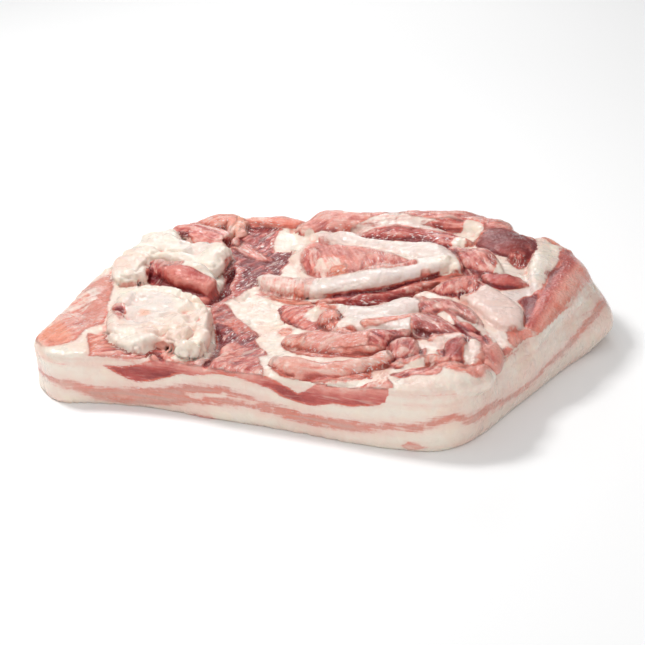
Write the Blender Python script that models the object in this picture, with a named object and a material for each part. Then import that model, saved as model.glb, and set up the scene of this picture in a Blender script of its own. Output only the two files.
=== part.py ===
"""Raw pork belly slab, lying on its flat fat side.

One solid: a squared slab whose four walls lean, with a table-flat underside, a tucked foot and
one corner that curls up off the table. Its upper face carries what the boning knife left:
long straps and bars of muscle and fat, two folded lobes of fat at the left, and a bulge of fat
over the near right corner.

Every form is a distance field worked out from the tables below. A grid laid over the slab and
rings round its walls are then drawn in until they touch that surface.

Frame: origin under the middle of the slab on the table, +X along the near cut face, +Y away
from it, +Z up. The tables are in millimetres and the mesh is in metres.
"""

import bmesh
import bpy
import numpy as np

MM = 0.001

NAME = "pork_belly"
MEAT_COLOUR = (0.72, 0.42, 0.37, 1.0)
MEAT_ROUGHNESS = 0.38

# Middle of the footprint in the tables below; it goes to the frame's origin.
CENTRE = np.array((-1.1, -3.7, 0.0))

# The walls are drawn at this height. Below it they tuck in to the foot, above it to the shoulder.
BELT_HEIGHT = 15.0
SHOULDER_SPAN = 25.0
EDGE_ROUND = 6.0

# Outline of the slab at belt height: x, y, tuck at the foot, tuck at the shoulder.
OUTLINE = [
    (-156, -110, 1, -4), (-140, -121, 0, -1), (-121, -118, 1, 0), (-98, -115, 1, 0),
    (-73, -115, 1, 0), (-50, -118, 1, 0), (-20, -120, 2, 0), (10, -122, 1, 0),
    (45, -126, 1, 0), (82, -125, 2, 1), (101, -114, 4, 3), (111, -92, 3, 5),
    (120, -62, 3, 6), (131, -30, 4, 8), (143, 8, 4, 10), (156, 38, 5, 14),
    (161, 57, 6, 18), (150, 80, 5, 14), (126, 98, 4, 8), (90, 112, 4, 5),
    (50, 119, 4, 4), (0, 117, 4, 4), (-40, 115, 4, 3), (-72, 115, 4, 2),
    (-92, 110, 4, 2), (-110, 106, 4, 1), (-130, 88, 5, 1), (-146, 66, 5, 0),
    (-156, 16, 5, 0), (-160, -30, 4, 0), (-161, -75, 2, -1), (-162, -98, 0, -3),
]
# The rows of OUTLINE where the near, right, far and left sides begin.
CORNER_ROWS = (0, 10, 17, 26)

# Thickness under the straps and lobes: one row for each y, one column for each x.
THICKNESS_X = (-160, -100, -40, 20, 80, 150)
THICKNESS_Y = (-120, -65, -10, 45, 115)
THICKNESS = [
    (31, 34, 35, 36, 41, 36),
    (35, 33, 27, 35, 41, 37),
    (39, 33, 26, 37, 44, 40),
    (40, 35, 28, 42, 47, 40),
    (35, 36, 39, 48, 49, 39),
]

# The right corner curls up: place, reach and height of the curl.
CURL_AT = (162, 58)
CURL_REACH = (34, 38)
CURL_HEIGHT = 9.0

# Straps lying on the slab: blend radius, then x, y, lift of the middle over the slab,
# half width and half height at each point of the strap's run.
STRAPS = {
    "near_strip": (2, [(-10, -106, -1, 5, 5), (3, -112, 0, 7, 6), (18, -112, 0, 7, 6),
                       (34, -107, 0, 7, 6), (50, -94, 1, 5, 5)]),
    "near_strap": (2, [(-14, -64, -1, 7, 5), (0, -71, 0, 11, 8), (18, -73, 0, 12, 8),
                       (38, -70, 1, 11, 8), (50, -63, 1, 8, 6)]),
    "nub": (2, [(55, -76, 0, 9, 7), (58, -86, -1, 9, 7)]),
    "film_bar": (2, [(-10, -18, -1, 7, 6), (8, -29, -2, 9, 7), (28, -28, -2, 10, 7),
                     (46, -19, -1, 10, 7), (58, -18, 0, 7, 6)]),
    "film_bar_low": (2, [(8, -44, -1, 7, 5), (24, -43, 0, 9, 6), (42, -42, 0, 9, 6),
                         (60, -42, 1, 8, 6)]),
    "rough_lean": (3, [(-34, -10, -2, 8, 4), (-22, -24, -1, 10, 5), (-12, -40, -2, 8, 4)]),
    "long_bar": (2, [(-54, 20, -1, 7, 6), (-34, 18, 0, 10, 8), (-12, 13, 1, 10, 8),
                     (10, 14, 1, 10, 8), (30, 24, 1, 10, 8), (52, 38, 1, 8, 7)]),
    "wide_strap": (3, [(-40, 66, -1, 16, 7), (-16, 58, 0, 17, 7), (8, 48, 0, 14, 6),
                       (30, 42, 0, 8, 5)]),
    "fat_ridge": (3, [(-40, 90, 0, 6, 5), (-22, 82, 1, 6, 6), (-2, 70, 1, 7, 6),
                      (18, 62, 1, 8, 6), (36, 58, 2, 9, 6), (52, 48, 1, 8, 6),
                      (62, 36, 0, 5, 5)]),
    "thin_muscle": (3, [(-10, 92, -1, 6, 5), (10, 90, 0, 9, 5), (32, 88, 0, 9, 5),
                        (56, 78, 0, 7, 4)]),
    "far_muscle_left": (3, [(-52, 98, 0, 8, 7), (-40, 105, 2, 10, 8), (-22, 106, 2, 10, 8),
                            (-2, 106, 1, 9, 7), (14, 106, 0, 7, 6)]),
    "far_muscle_right": (3, [(6, 100, -1, 7, 6), (22, 106, 1, 10, 7), (40, 108, 2, 11, 7),
                             (58, 107, 1, 11, 7), (76, 102, 0, 9, 6), (86, 98, -1, 6, 5)]),
    "round_muscle": (3, [(80, 84, 0, 14, 6), (92, 78, 0, 14, 6)]),
    "fat_strap": (3, [(108, 94, 0, 8, 4), (113, 68, 1, 8, 5), (113, 42, 1, 5, 4)]),
    "side_muscle": (4, [(120, 90, -3, 8, 7), (129, 66, -3, 10, 8), (130, 38, -3, 9, 8),
                        (126, 10, -3, 9, 8), (123, -14, -4, 8, 7), (121, -30, -6, 6, 6)]),
    "lump": (2, [(56, 62, 0, 6, 5), (68, 54, 0, 9, 6), (80, 43, 0, 9, 6), (88, 34, -1, 6, 5)]),
    "small_lump": (2, [(64, 8, -1, 7, 5), (76, 9, 0, 9, 6), (84, 4, -1, 6, 5)]),
    "slanting_muscle": (3, [(52, -12, -1, 7, 5), (64, -20, 0, 11, 6), (77, -32, 0, 10, 6),
                            (89, -45, -1, 8, 5), (98, -57, -2, 5, 4)]),
    "near_bulge": (6, [(74, -108, -4, 10, 6), (92, -104, -3, 12, 7), (104, -96, -4, 8, 6)]),
    "trimming_a": (2, [(72, -60, -1, 6, 5), (86, -66, 0, 7, 5), (88, -86, -1, 6, 5)]),
    "trimming_b": (2, [(98, -52, -1, 6, 4), (106, -70, -1, 7, 5), (110, -88, -2, 6, 5)]),
    "cut_muscle": (1, [(-122, 4, 2, 8, 6), (-108, 1, 3, 10, 8), (-94, -5, 3, 11, 8),
                       (-83, -9, 2, 9, 7)]),
    "left_muscle": (3, [(-138, 71, -3, 8, 6), (-122, 69, -1, 11, 7), (-104, 66, 0, 9, 6)]),
    "far_left_hump": (3, [(-124, 84, 0, 8, 6), (-114, 96, 1, 8, 6), (-104, 97, 1, 7, 6),
                          (-98, 82, 0, 6, 5)]),
    "far_trimming": (3, [(-92, 104, -1, 7, 6), (-76, 108, 0, 7, 5), (-62, 106, -1, 6, 5)]),
}

# Folded lobes of fat: blend radius, half thickness, edge radius, the lift of the middle over
# the slab at two values of x, and the outline seen from above.
LOBES = {
    "near_lobe": dict(blend=1.2, half=6.5, edge=8.0, lift_x=(-130, -70), lift=(-2, 3), outline=[
        (-132, -60), (-134, -42), (-127, -28), (-114, -20), (-97, -24), (-82, -34), (-70, -46),
        (-63, -64), (-59, -84), (-54, -100), (-58, -111), (-68, -111), (-77, -102), (-85, -99),
        (-88, -109), (-96, -112), (-106, -107), (-117, -98), (-126, -84)]),
    "far_lobe": dict(blend=1.2, half=6.5, edge=8.0, lift_x=(-150, -95), lift=(0, 3), outline=[
        (-143, -24), (-151, -10), (-153, 10), (-149, 30), (-150, 46), (-144, 58), (-136, 67),
        (-129, 63), (-121, 52), (-110, 50), (-98, 52), (-88, 46), (-85, 36), (-85, 18),
        (-90, 10), (-104, 12), (-116, 18), (-126, 20), (-129, 6), (-124, -12), (-134, -22)]),
    "side_flap": dict(blend=1.5, half=5.0, edge=6.0, lift_x=(70, 120), lift=(0, 0), outline=[
        (80, 20), (90, 13), (106, 0), (115, -14), (117, -30), (110, -37), (100, -34), (90, -22),
        (80, -13), (74, -6), (80, 2)]),
}

# The mesh: cells over the top, rings round the walls at fractions of the local thickness,
# and how far inside the wall the top's own rim lies.
TOP_CELLS = (60, 44)
WALL_RINGS = (0.0, 0.1, 0.24, 0.42, 0.6, 0.78)
RIM_INSET = 3.5
CURVE_STEPS = 6

# How a vertex is drawn in to the surface: where it starts, and the length of its steps.
START_HEIGHT = 66.0
START_OUTSIDE = 12.0
STEP = 1.5
HALVINGS = 10


def smooth_curve(rows, closed=False):
    """Catmull-Rom curve through rows of numbers; every column is carried along."""
    rows = np.asarray(rows, float)
    if closed:
        ring = np.vstack([rows[-1], rows, rows[:2]])
    else:
        ring = np.vstack([2 * rows[0] - rows[1], rows, 2 * rows[-1] - rows[-2]])
    t = np.linspace(0, 1, CURVE_STEPS, endpoint=False)[:, None]
    spans = []
    for a, b, c, d in zip(ring[:-3], ring[1:-2], ring[2:-1], ring[3:]):
        line = 2 * b + (c - a) * t
        bend = (2 * a - 5 * b + 4 * c - d) * t ** 2 + (3 * b - a - 3 * c + d) * t ** 3
        spans.append(0.5 * (line + bend))
    if not closed:
        spans.append(rows[-1:])
    return np.vstack(spans)


def nearest_on_curve(curve, plan):
    """Distance from each plan point to the curve, and the curve's row at the nearest place."""
    best = np.full(len(plan), np.inf)
    row = np.zeros((len(plan), curve.shape[1]))
    for start, end in zip(curve[:-1], curve[1:]):
        along = end[:2] - start[:2]
        offset = plan - start[:2]
        t = np.clip(offset @ along / max(along @ along, 1e-9), 0, 1)
        gap = np.linalg.norm(offset - t[:, None] * along, axis=1)
        nearer = gap < best
        best[nearer] = gap[nearer]
        row[nearer] = start + t[nearer, None] * (end - start)
    return best, row


def inside_outline(curve, plan):
    """Distance to a closed outline, negative inside, and the outline's row there."""
    ring = np.vstack([curve, curve[:1]])
    gap, row = nearest_on_curve(ring, plan)
    x, y = plan.T
    inside = np.zeros(len(plan), bool)
    for (x0, y0), (x1, y1) in zip(ring[:-1, :2], ring[1:, :2]):
        if y0 != y1:
            inside ^= ((y0 > y) != (y1 > y)) & (x < (x1 - x0) * (y - y0) / (y1 - y0) + x0)
    return np.where(inside, -gap, gap), row


def smooth_min(a, b, radius):
    """Union of two distances with a fillet."""
    h = np.clip(0.5 + 0.5 * (b - a) / radius, 0, 1)
    return b * (1 - h) + a * h - radius * h * (1 - h)


def smooth_max(a, b, radius):
    """Intersection of two distances with a rounded edge."""
    return -smooth_min(-a, -b, radius)


def ellipse_distance(across, up, half_width, half_height):
    """Distance to an ellipse, near enough close to its edge."""
    k = np.hypot(across / half_width, up / half_height)
    slope = np.hypot(across / half_width ** 2, up / half_height ** 2)
    return k * (k - 1) / np.maximum(slope, 1e-6)


def thickness(plan):
    """Thickness of the bare slab, eased between the rows and columns of the table."""
    table = np.asarray(THICKNESS, float)
    column = np.interp(plan[:, 0], THICKNESS_X, np.arange(len(THICKNESS_X)))
    row = np.interp(plan[:, 1], THICKNESS_Y, np.arange(len(THICKNESS_Y)))
    i = np.minimum(column.astype(int), len(THICKNESS_X) - 2)
    j = np.minimum(row.astype(int), len(THICKNESS_Y) - 2)
    u = column - i
    v = row - j
    u = u * u * (3 - 2 * u)
    v = v * v * (3 - 2 * v)
    near = table[j, i] * (1 - u) + table[j, i + 1] * u
    far = table[j + 1, i] * (1 - u) + table[j + 1, i + 1] * u
    return near * (1 - v) + far * v


def slab_distance(points):
    """The bare slab: leaning walls, rounded upper edge, flat underside, curled corner."""
    plan, z = points[:, :2], points[:, 2]
    wall, row = inside_outline(smooth_curve(OUTLINE, closed=True), plan)
    wall += row[:, 2] * np.clip(1 - z / BELT_HEIGHT, 0, 1) ** 2
    wall += row[:, 3] * np.clip((z - BELT_HEIGHT) / SHOULDER_SPAN, 0, 2) ** 1.5
    slab = smooth_max(wall, z - thickness(plan), EDGE_ROUND)
    reach = (((plan - CURL_AT) / CURL_REACH) ** 2).sum(axis=1)
    curl = CURL_HEIGHT * np.clip(1 - reach, 0, 1) ** 1.5
    underside = np.where(reach < 1, curl - z, -z - EDGE_ROUND)
    return np.maximum(slab, underside)


def add_strap(field, points, blend, run):
    """Blend one strap into the field."""
    run = smooth_curve(run)
    reach = run[:, 3].max() + 3 * blend + STEP
    low, high = run[:, :2].min(axis=0) - reach, run[:, :2].max(axis=0) + reach
    near = np.all((points[:, :2] > low) & (points[:, :2] < high), axis=1)
    plan, z = points[near, :2], points[near, 2]
    gap, row = nearest_on_curve(run, plan)
    middle = thickness(plan) + row[:, 2]
    strap = ellipse_distance(gap, z - middle, row[:, 3], row[:, 4])
    field[near] = smooth_min(field[near], strap, blend)


def add_lobe(field, points, lobe):
    """Blend one flat lobe with a round edge into the field."""
    outline = smooth_curve(lobe["outline"], closed=True)
    reach = 3 * lobe["blend"] + STEP
    low, high = outline.min(axis=0) - reach, outline.max(axis=0) + reach
    near = np.all((points[:, :2] > low) & (points[:, :2] < high), axis=1)
    plan, z = points[near, :2], points[near, 2]
    gap, _ = inside_outline(outline, plan)
    middle = thickness(plan) + np.interp(plan[:, 0], lobe["lift_x"], lobe["lift"])
    across = np.maximum(gap + lobe["edge"], 0)
    shape = ellipse_distance(across, z - middle, lobe["edge"], lobe["half"])
    field[near] = smooth_min(field[near], shape, lobe["blend"])


def belly_distance(points):
    """Distance to the whole slab, negative inside."""
    field = slab_distance(points)
    for blend, run in STRAPS.values():
        add_strap(field, points, blend, run)
    for lobe in LOBES.values():
        add_lobe(field, points, lobe)
    return field


def draw_in(starts, directions, reach):
    """Move each start along its direction until it first touches the slab."""
    steps = np.arange(0, reach, STEP)
    trail = starts[:, None] + directions[:, None] * steps[:, None]
    field = belly_distance(trail.reshape(-1, 3)).reshape(len(starts), len(steps))
    first = np.maximum(np.argmax(field < 0, axis=1), 1)
    outer = steps[first - 1]
    inner = steps[first]
    for _ in range(HALVINGS):
        middle = (outer + inner) / 2
        outside = belly_distance(starts + directions * middle[:, None]) > 0
        outer = np.where(outside, middle, outer)
        inner = np.where(outside, inner, middle)
    return starts + directions * inner[:, None]


def even_stretch(curve, count):
    """Points of a curve an even distance apart, without its last one."""
    length = np.concatenate([[0], np.cumsum(np.linalg.norm(np.diff(curve[:, :2], axis=0), axis=1))])
    at = np.linspace(0, length[-1], count, endpoint=False)
    return np.stack([np.interp(at, length, column) for column in curve.T], axis=1)


def rim_points():
    """The outline as four sides with as many points as the top has cells, and its normals."""
    curve = smooth_curve(OUTLINE, closed=True)
    ring = np.vstack([curve, curve[:1]])
    ends = [row * CURVE_STEPS for row in CORNER_ROWS] + [len(curve)]
    counts = (TOP_CELLS[0], TOP_CELLS[1], TOP_CELLS[0], TOP_CELLS[1])
    sides = [even_stretch(ring[a:b + 1], n) for a, b, n in zip(ends[:-1], ends[1:], counts)]
    rim = np.vstack(sides)
    along = np.roll(rim[:, :2], -1, axis=0) - np.roll(rim[:, :2], 1, axis=0)
    along /= np.linalg.norm(along, axis=1)[:, None]
    inward = np.stack([-along[:, 1], along[:, 0]], axis=1)
    return rim, inward


def coons_patch(rim):
    """Plan positions of the top grid, stretched between the four sides of the rim."""
    nx, ny = TOP_CELLS
    near = rim[:nx + 1]
    right = rim[nx:nx + ny + 1]
    far = rim[nx + ny:2 * nx + ny + 1][::-1]
    left = np.vstack([rim[2 * nx + ny:], rim[:1]])[::-1]
    u = np.linspace(0, 1, nx + 1)[None, :, None]
    v = np.linspace(0, 1, ny + 1)[:, None, None]
    between_rows = (1 - v) * near[None] + v * far[None]
    between_columns = (1 - u) * left[:, None] + u * right[:, None]
    corners = (1 - u) * ((1 - v) * near[0] + v * far[0]) + u * ((1 - v) * near[-1] + v * far[-1])
    return between_rows + between_columns - corners


def rim_loop():
    """Indices of the grid's border vertices, in the rim's order."""
    nx, ny = TOP_CELLS
    index = np.arange((nx + 1) * (ny + 1)).reshape(ny + 1, nx + 1)
    return np.concatenate([index[0, :-1], index[:-1, -1], index[-1, :0:-1], index[:0:-1, 0]])


def top_surface(rim, inward):
    """The top grid's vertices, let down on to the slab from above."""
    tuck = RIM_INSET + np.maximum(rim[:, 3], 0)
    plan = coons_patch(rim[:, :2] + inward * tuck[:, None]).reshape(-1, 2)
    starts = np.column_stack([plan, np.full(len(plan), START_HEIGHT)])
    down = np.broadcast_to((0.0, 0.0, -1.0), starts.shape)
    return draw_in(starts, down, START_HEIGHT)


def wall_ring(rim, inward, fraction):
    """One ring round the walls, drawn in level at a fraction of the local thickness."""
    height = thickness(rim[:, :2]) * fraction
    starts = np.column_stack([rim[:, :2] - inward * START_OUTSIDE, height])
    level = np.column_stack([inward, np.zeros(len(rim))])
    return draw_in(starts, level, START_OUTSIDE + max(CURL_REACH) + max(rim[:, 3]))


def in_frame(place):
    """A place of the tables in the object's frame, in metres."""
    return (place - CENTRE) * MM


def build_mesh():
    """Grid over the top, rings down the walls, one flat face underneath."""
    rim, inward = rim_points()
    bm = bmesh.new()
    bmesh.ops.create_grid(bm, x_segments=TOP_CELLS[0], y_segments=TOP_CELLS[1], size=0.5)
    bm.verts.ensure_lookup_table()
    for vert, place in zip(bm.verts, top_surface(rim, inward)):
        vert.co = in_frame(place)
    ring = [bm.verts[i] for i in rim_loop()]
    for fraction in reversed(WALL_RINGS):
        ring = extrude_ring(bm, ring, wall_ring(rim, inward, fraction))
    bmesh.ops.contextual_create(bm, geom=ring_edges(bm, ring))
    bmesh.ops.recalc_face_normals(bm, faces=bm.faces)
    mesh = bpy.data.meshes.new(NAME)
    bm.to_mesh(mesh)
    bm.free()
    mesh.shade_smooth()
    return mesh


def ring_edges(bm, ring):
    """The edges between neighbouring vertices of a closed ring."""
    return [bm.edges.get((a, b)) for a, b in zip(ring, ring[1:] + ring[:1])]


def extrude_ring(bm, ring, places):
    """Extrude a closed ring of edges and put the new ring's vertices in their places."""
    grown = bmesh.ops.extrude_edge_only(bm, edges=ring_edges(bm, ring))["geom"]
    fresh = {v for v in grown if isinstance(v, bmesh.types.BMVert)}
    twins = [next(e.other_vert(v) for e in v.link_edges if e.other_vert(v) in fresh) for v in ring]
    for vert, place in zip(twins, places):
        vert.co = in_frame(place)
    return twins


def meat_material():
    """Moist raw meat: lean and fat together in one plain colour."""
    material = bpy.data.materials.new("raw_pork")
    material.use_nodes = True
    shader = material.node_tree.nodes["Principled BSDF"]
    shader.inputs["Base Color"].default_value = MEAT_COLOUR
    shader.inputs["Roughness"].default_value = MEAT_ROUGHNESS
    shader.inputs["Metallic"].default_value = 0.0
    return material


def main():
    for old in list(bpy.data.objects):
        bpy.data.objects.remove(old, do_unlink=True)
    collection = bpy.data.collections.new("pork_belly_slab")
    bpy.context.scene.collection.children.link(collection)
    slab = bpy.data.objects.new(NAME, build_mesh())
    slab.data.materials.append(meat_material())
    collection.objects.link(slab)


main()
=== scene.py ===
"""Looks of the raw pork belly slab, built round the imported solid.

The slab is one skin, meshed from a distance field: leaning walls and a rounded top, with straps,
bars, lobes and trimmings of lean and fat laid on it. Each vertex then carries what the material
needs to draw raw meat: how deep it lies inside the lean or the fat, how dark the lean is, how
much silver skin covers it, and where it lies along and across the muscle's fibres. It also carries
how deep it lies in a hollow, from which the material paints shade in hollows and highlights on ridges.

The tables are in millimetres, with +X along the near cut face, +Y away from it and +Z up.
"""

import math

import bmesh
import bpy
import numpy as np
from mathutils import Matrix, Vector

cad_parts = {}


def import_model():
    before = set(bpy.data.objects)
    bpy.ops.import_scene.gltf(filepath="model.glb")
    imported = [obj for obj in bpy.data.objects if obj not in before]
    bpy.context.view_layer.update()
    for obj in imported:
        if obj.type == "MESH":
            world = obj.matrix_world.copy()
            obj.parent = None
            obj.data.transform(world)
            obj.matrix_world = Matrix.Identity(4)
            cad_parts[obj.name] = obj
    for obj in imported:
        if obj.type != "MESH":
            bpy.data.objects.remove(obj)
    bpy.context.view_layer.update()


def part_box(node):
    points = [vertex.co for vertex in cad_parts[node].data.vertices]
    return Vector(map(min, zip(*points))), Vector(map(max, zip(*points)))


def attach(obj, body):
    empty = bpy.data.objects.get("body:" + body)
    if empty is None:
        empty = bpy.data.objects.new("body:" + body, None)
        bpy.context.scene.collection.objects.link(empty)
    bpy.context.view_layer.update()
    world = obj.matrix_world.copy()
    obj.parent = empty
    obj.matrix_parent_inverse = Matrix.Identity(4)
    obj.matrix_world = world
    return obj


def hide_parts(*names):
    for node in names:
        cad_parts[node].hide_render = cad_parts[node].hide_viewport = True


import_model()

MM = 0.001
NODE = "pork_belly"

# Middle of the footprint in the tables below; it is the frame's origin.
CENTRE = np.array((-1.1, -3.7, 0.0))

# ---------------------------------------------------------------- the slab's shape
BELT_HEIGHT = 15.0
SHOULDER_SPAN = 25.0
EDGE_ROUND = 6.0

# Outline of the slab at belt height: x, y, tuck at the foot, tuck at the shoulder.
OUTLINE = [
    (-156, -110, 1, -4), (-140, -121, 0, -1), (-121, -118, 1, 0), (-98, -115, 1, 0),
    (-73, -115, 1, 0), (-50, -118, 1, 0), (-20, -120, 2, 0), (10, -122, 1, 0),
    (45, -126, 1, 0), (82, -125, 2, 1), (101, -114, 4, 3), (111, -92, 3, 5),
    (120, -62, 3, 6), (131, -30, 4, 8), (143, 8, 4, 10), (156, 38, 5, 14),
    (161, 57, 6, 18), (150, 80, 5, 14), (126, 98, 4, 8), (90, 112, 4, 5),
    (50, 119, 4, 4), (0, 117, 4, 4), (-40, 115, 4, 3), (-72, 115, 4, 2),
    (-92, 110, 4, 2), (-110, 106, 4, 1), (-130, 88, 5, 1), (-146, 66, 5, 0),
    (-156, 16, 5, 0), (-160, -30, 4, 0), (-161, -75, 2, -1), (-162, -98, 0, -3),
]

# Thickness under the straps and lobes: one row for each y, one column for each x.
THICKNESS_X = (-160, -100, -40, 20, 80, 150)
THICKNESS_Y = (-120, -65, -10, 45, 115)
THICKNESS = [
    (31, 34, 35, 36, 41, 36),
    (35, 33, 27, 35, 41, 37),
    (39, 33, 26, 37, 44, 40),
    (40, 35, 28, 42, 47, 40),
    (35, 36, 39, 48, 49, 39),
]

# The right corner curls up: place, reach and height of the curl.
CURL_AT = (162, 58)
CURL_REACH = (34, 38)
CURL_HEIGHT = 9.0


def strap(run, blend=2.0, lean=3.0, tone=0.45, film=0.0, warm=0.0, calm=0.0, under=None,
          square=2.0):
    """A strap lying on the slab.

    run: x, y, lift of the middle over the slab, half width, half height at each point.
    lean: depth inside the lean in mm, negative for fat; under: the same low on its sides.
    tone: 0 for pale lean, 1 for dark; film: silver skin; warm: orange blush; calm: 1 for smooth, below 0 for crumpled.
    square: 2 for a round section, more for a squared one.
    """
    return dict(run=run, blend=blend, lean=lean, tone=tone, film=film, warm=warm, calm=calm,
                under=lean if under is None else under, square=square)


STRAPS = {
    "near_strip": strap([(-10, -106, -1, 5, 5), (3, -112, 0, 7, 6), (18, -112, 0, 7, 6),
                         (34, -107, 0, 7, 6), (50, -94, 1, 5, 5)], tone=0.22),
    "near_strap": strap([(-14, -64, -1, 7, 5), (0, -71, 0, 11, 8), (18, -73, 0, 12, 8),
                         (38, -70, 1, 11, 8), (50, -63, 1, 8, 6)], tone=0.18),
    "nub": strap([(55, -76, 0, 9, 7), (58, -86, -1, 9, 7)], blend=1.5, tone=0.6),
    "film_bar": strap([(-10, -18, -1, 7, 6), (8, -29, -2, 9, 7), (28, -28, -2, 10, 7),
                       (46, -19, -1, 10, 7), (58, -18, 0, 7, 6)], lean=-3, film=0.5),
    "film_bar_low": strap([(8, -44, -1, 7, 5), (24, -43, 0, 9, 6), (42, -42, 0, 9, 6),
                           (60, -43, 1, 9, 6), (74, -50, 0, 7, 5), (84, -56, -1, 5, 4)],
                          lean=-3, film=0.4),
    "red_nugget": strap([(-6, -28, 1, 5, 5), (2, -38, 1, 7, 6)], tone=0.6),
    "red_patch": strap([(12, -54, -1, 7, 4), (20, -59, -1, 5, 4)], tone=0.6),
    "rough_lean": strap([(-34, -10, -2, 8, 4), (-22, -24, -1, 10, 5), (-12, -40, -2, 8, 4)],
                        blend=3, lean=2, tone=0.45),
    "long_bar": strap([(-54, 20, -1, 7, 6), (-34, 18, 0, 10, 8), (-12, 13, 1, 10, 8),
                       (10, 14, 1, 10, 8), (30, 24, 1, 10, 8), (52, 38, 1, 8, 7)],
                      blend=1.5, lean=-3, film=0.5, calm=0.3, square=3),
    "wide_strap": strap([(-40, 66, -1, 16, 7), (-16, 58, 0, 17, 7), (8, 48, 0, 14, 6),
                         (30, 42, 0, 8, 5)], blend=3, lean=-2),
    "fat_ridge": strap([(-40, 90, 0, 6, 5), (-22, 82, 1, 6, 6), (-2, 70, 1, 7, 6),
                        (18, 62, 1, 8, 6), (36, 58, 2, 9, 6), (52, 48, 1, 8, 6),
                        (62, 36, 0, 5, 5)], blend=2.5, lean=-4, film=0.7, warm=0.1, calm=0.4),
    "thin_muscle": strap([(-10, 92, -1, 6, 5), (10, 90, 0, 9, 5), (32, 88, 0, 9, 5),
                          (56, 78, 0, 7, 4)], blend=2.5, tone=0.65),
    "far_muscle_left": strap([(-52, 98, 0, 8, 7), (-40, 105, 2, 10, 8), (-22, 106, 2, 10, 8),
                              (-2, 106, 1, 9, 7), (14, 106, 0, 7, 6)], blend=3, tone=0.28, film=0.15),
    "far_muscle_right": strap([(6, 100, -1, 7, 6), (22, 106, 1, 10, 7), (40, 108, 2, 11, 7),
                               (58, 107, 1, 11, 7), (76, 102, 0, 9, 6), (86, 98, -1, 6, 5)],
                              blend=3, tone=0.3, film=0.15),
    "round_muscle": strap([(80, 84, 0, 14, 6), (92, 78, 0, 14, 6)], blend=3, tone=0.95, calm=0.7),
    "fat_strap": strap([(108, 94, 0, 8, 4), (113, 68, 1, 8, 5), (113, 42, 1, 5, 4),
                        (118, 16, 0, 3, 3)], blend=3, lean=-4, calm=0.85),
    "side_muscle": strap([(120, 90, -3, 8, 7), (129, 66, -3, 10, 8), (130, 38, -3, 9, 8),
                          (126, 10, -3, 9, 8), (123, -14, -4, 8, 7), (121, -30, -6, 6, 6)],
                         blend=8, lean=-4, calm=1.0),
    "lump": strap([(56, 62, 0, 6, 5), (68, 54, 0, 9, 6), (80, 43, 0, 9, 6), (88, 34, -1, 6, 5)],
                  tone=0.6),
    "dark_lump": strap([(88, 26, -1, 6, 4), (98, 25, 0, 7, 5), (108, 28, -1, 5, 4)], tone=0.75),
    "small_lump": strap([(64, 8, -1, 7, 5), (76, 9, 0, 9, 6), (84, 4, -1, 6, 5)], tone=0.6),
    "slanting_muscle": strap([(52, -12, -1, 7, 5), (64, -20, 0, 11, 6), (77, -32, 0, 10, 6),
                              (89, -45, -1, 8, 5), (98, -57, -2, 5, 4)], blend=2.5, lean=1.5,
                             tone=0.55, film=0.3),
    "near_bulge": strap([(74, -108, -4, 10, 6), (92, -104, -3, 12, 7), (104, -96, -4, 8, 6)],
                        blend=6, lean=-5, calm=0.8),
    "trimming_a": strap([(72, -60, -1, 6, 5), (86, -66, 0, 7, 5), (88, -86, -1, 6, 5)], tone=0.5),
    "trimming_fat": strap([(94, -66, 0, 6, 5), (98, -86, -1, 6, 5)], lean=-3),
    "trimming_b": strap([(98, -52, -1, 6, 4), (105, -68, -1, 7, 5), (107, -80, -3, 6, 4)],
                        tone=0.4, film=0.3, calm=0.9),
    "trimming_c": strap([(60, -98, -1, 5, 4), (72, -94, 0, 6, 5), (84, -92, 0, 5, 4)],
                        lean=2, tone=0.4),
    "cut_muscle": strap([(-122, 4, 2, 8, 6), (-108, 1, 3, 10, 8), (-94, -5, 3, 11, 8),
                         (-83, -9, 2, 9, 7)], blend=2.5, lean=5, tone=0.55, calm=0.4,
                        square=2.5),
    "left_muscle": strap([(-134, 72, -1, 8, 6), (-122, 70, 1, 11, 7), (-104, 66, 0, 9, 6)],
                         blend=3, lean=4, tone=0.5),
    "far_left_hump": strap([(-124, 84, 0, 8, 6), (-114, 96, 1, 8, 6), (-104, 97, 1, 7, 6),
                            (-98, 82, 0, 6, 5)], blend=3, lean=4, tone=0.35, warm=0.4),
    "far_trimming": strap([(-92, 104, -1, 7, 6), (-76, 108, 0, 7, 5), (-62, 106, -1, 6, 5)],
                          blend=3, lean=1, tone=0.3),
}


def lobe(outline, lift_x, lift, half=6.5, edge=8.0, blend=1.2, lean=-5.0):
    """A flat folded lobe with a round edge, lifted over the slab by lift at the places lift_x."""
    return dict(outline=outline, lift_x=lift_x, lift=lift, half=half, edge=edge, blend=blend,
                lean=lean)


LOBES = {
    "near_lobe": lobe([(-132, -60), (-134, -42), (-127, -28), (-114, -20), (-97, -24),
                       (-82, -34), (-70, -46), (-63, -64), (-59, -84), (-54, -100),
                       (-58, -111), (-68, -111), (-77, -102), (-85, -99), (-88, -109),
                       (-96, -112), (-106, -107), (-117, -98), (-126, -84)],
                      lift_x=(-130, -70), lift=(-2, 3)),
    "far_lobe": lobe([(-143, -24), (-151, -10), (-153, 10), (-149, 30), (-150, 46),
                      (-144, 58), (-136, 67), (-129, 63), (-121, 52), (-110, 50), (-98, 52),
                      (-88, 46), (-85, 36), (-85, 18), (-90, 10), (-104, 12), (-116, 18),
                      (-126, 20), (-129, 6), (-124, -12), (-134, -22)],
                     lift_x=(-150, -95), lift=(0, 3)),
    "side_flap": lobe([(80, 20), (90, 13), (106, 0), (115, -14), (117, -30), (110, -37),
                       (100, -34), (90, -22), (80, -13), (74, -6), (80, 2)],
                      lift_x=(70, 120), lift=(0, 0), half=5, edge=6, blend=1.5),
}

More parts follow.
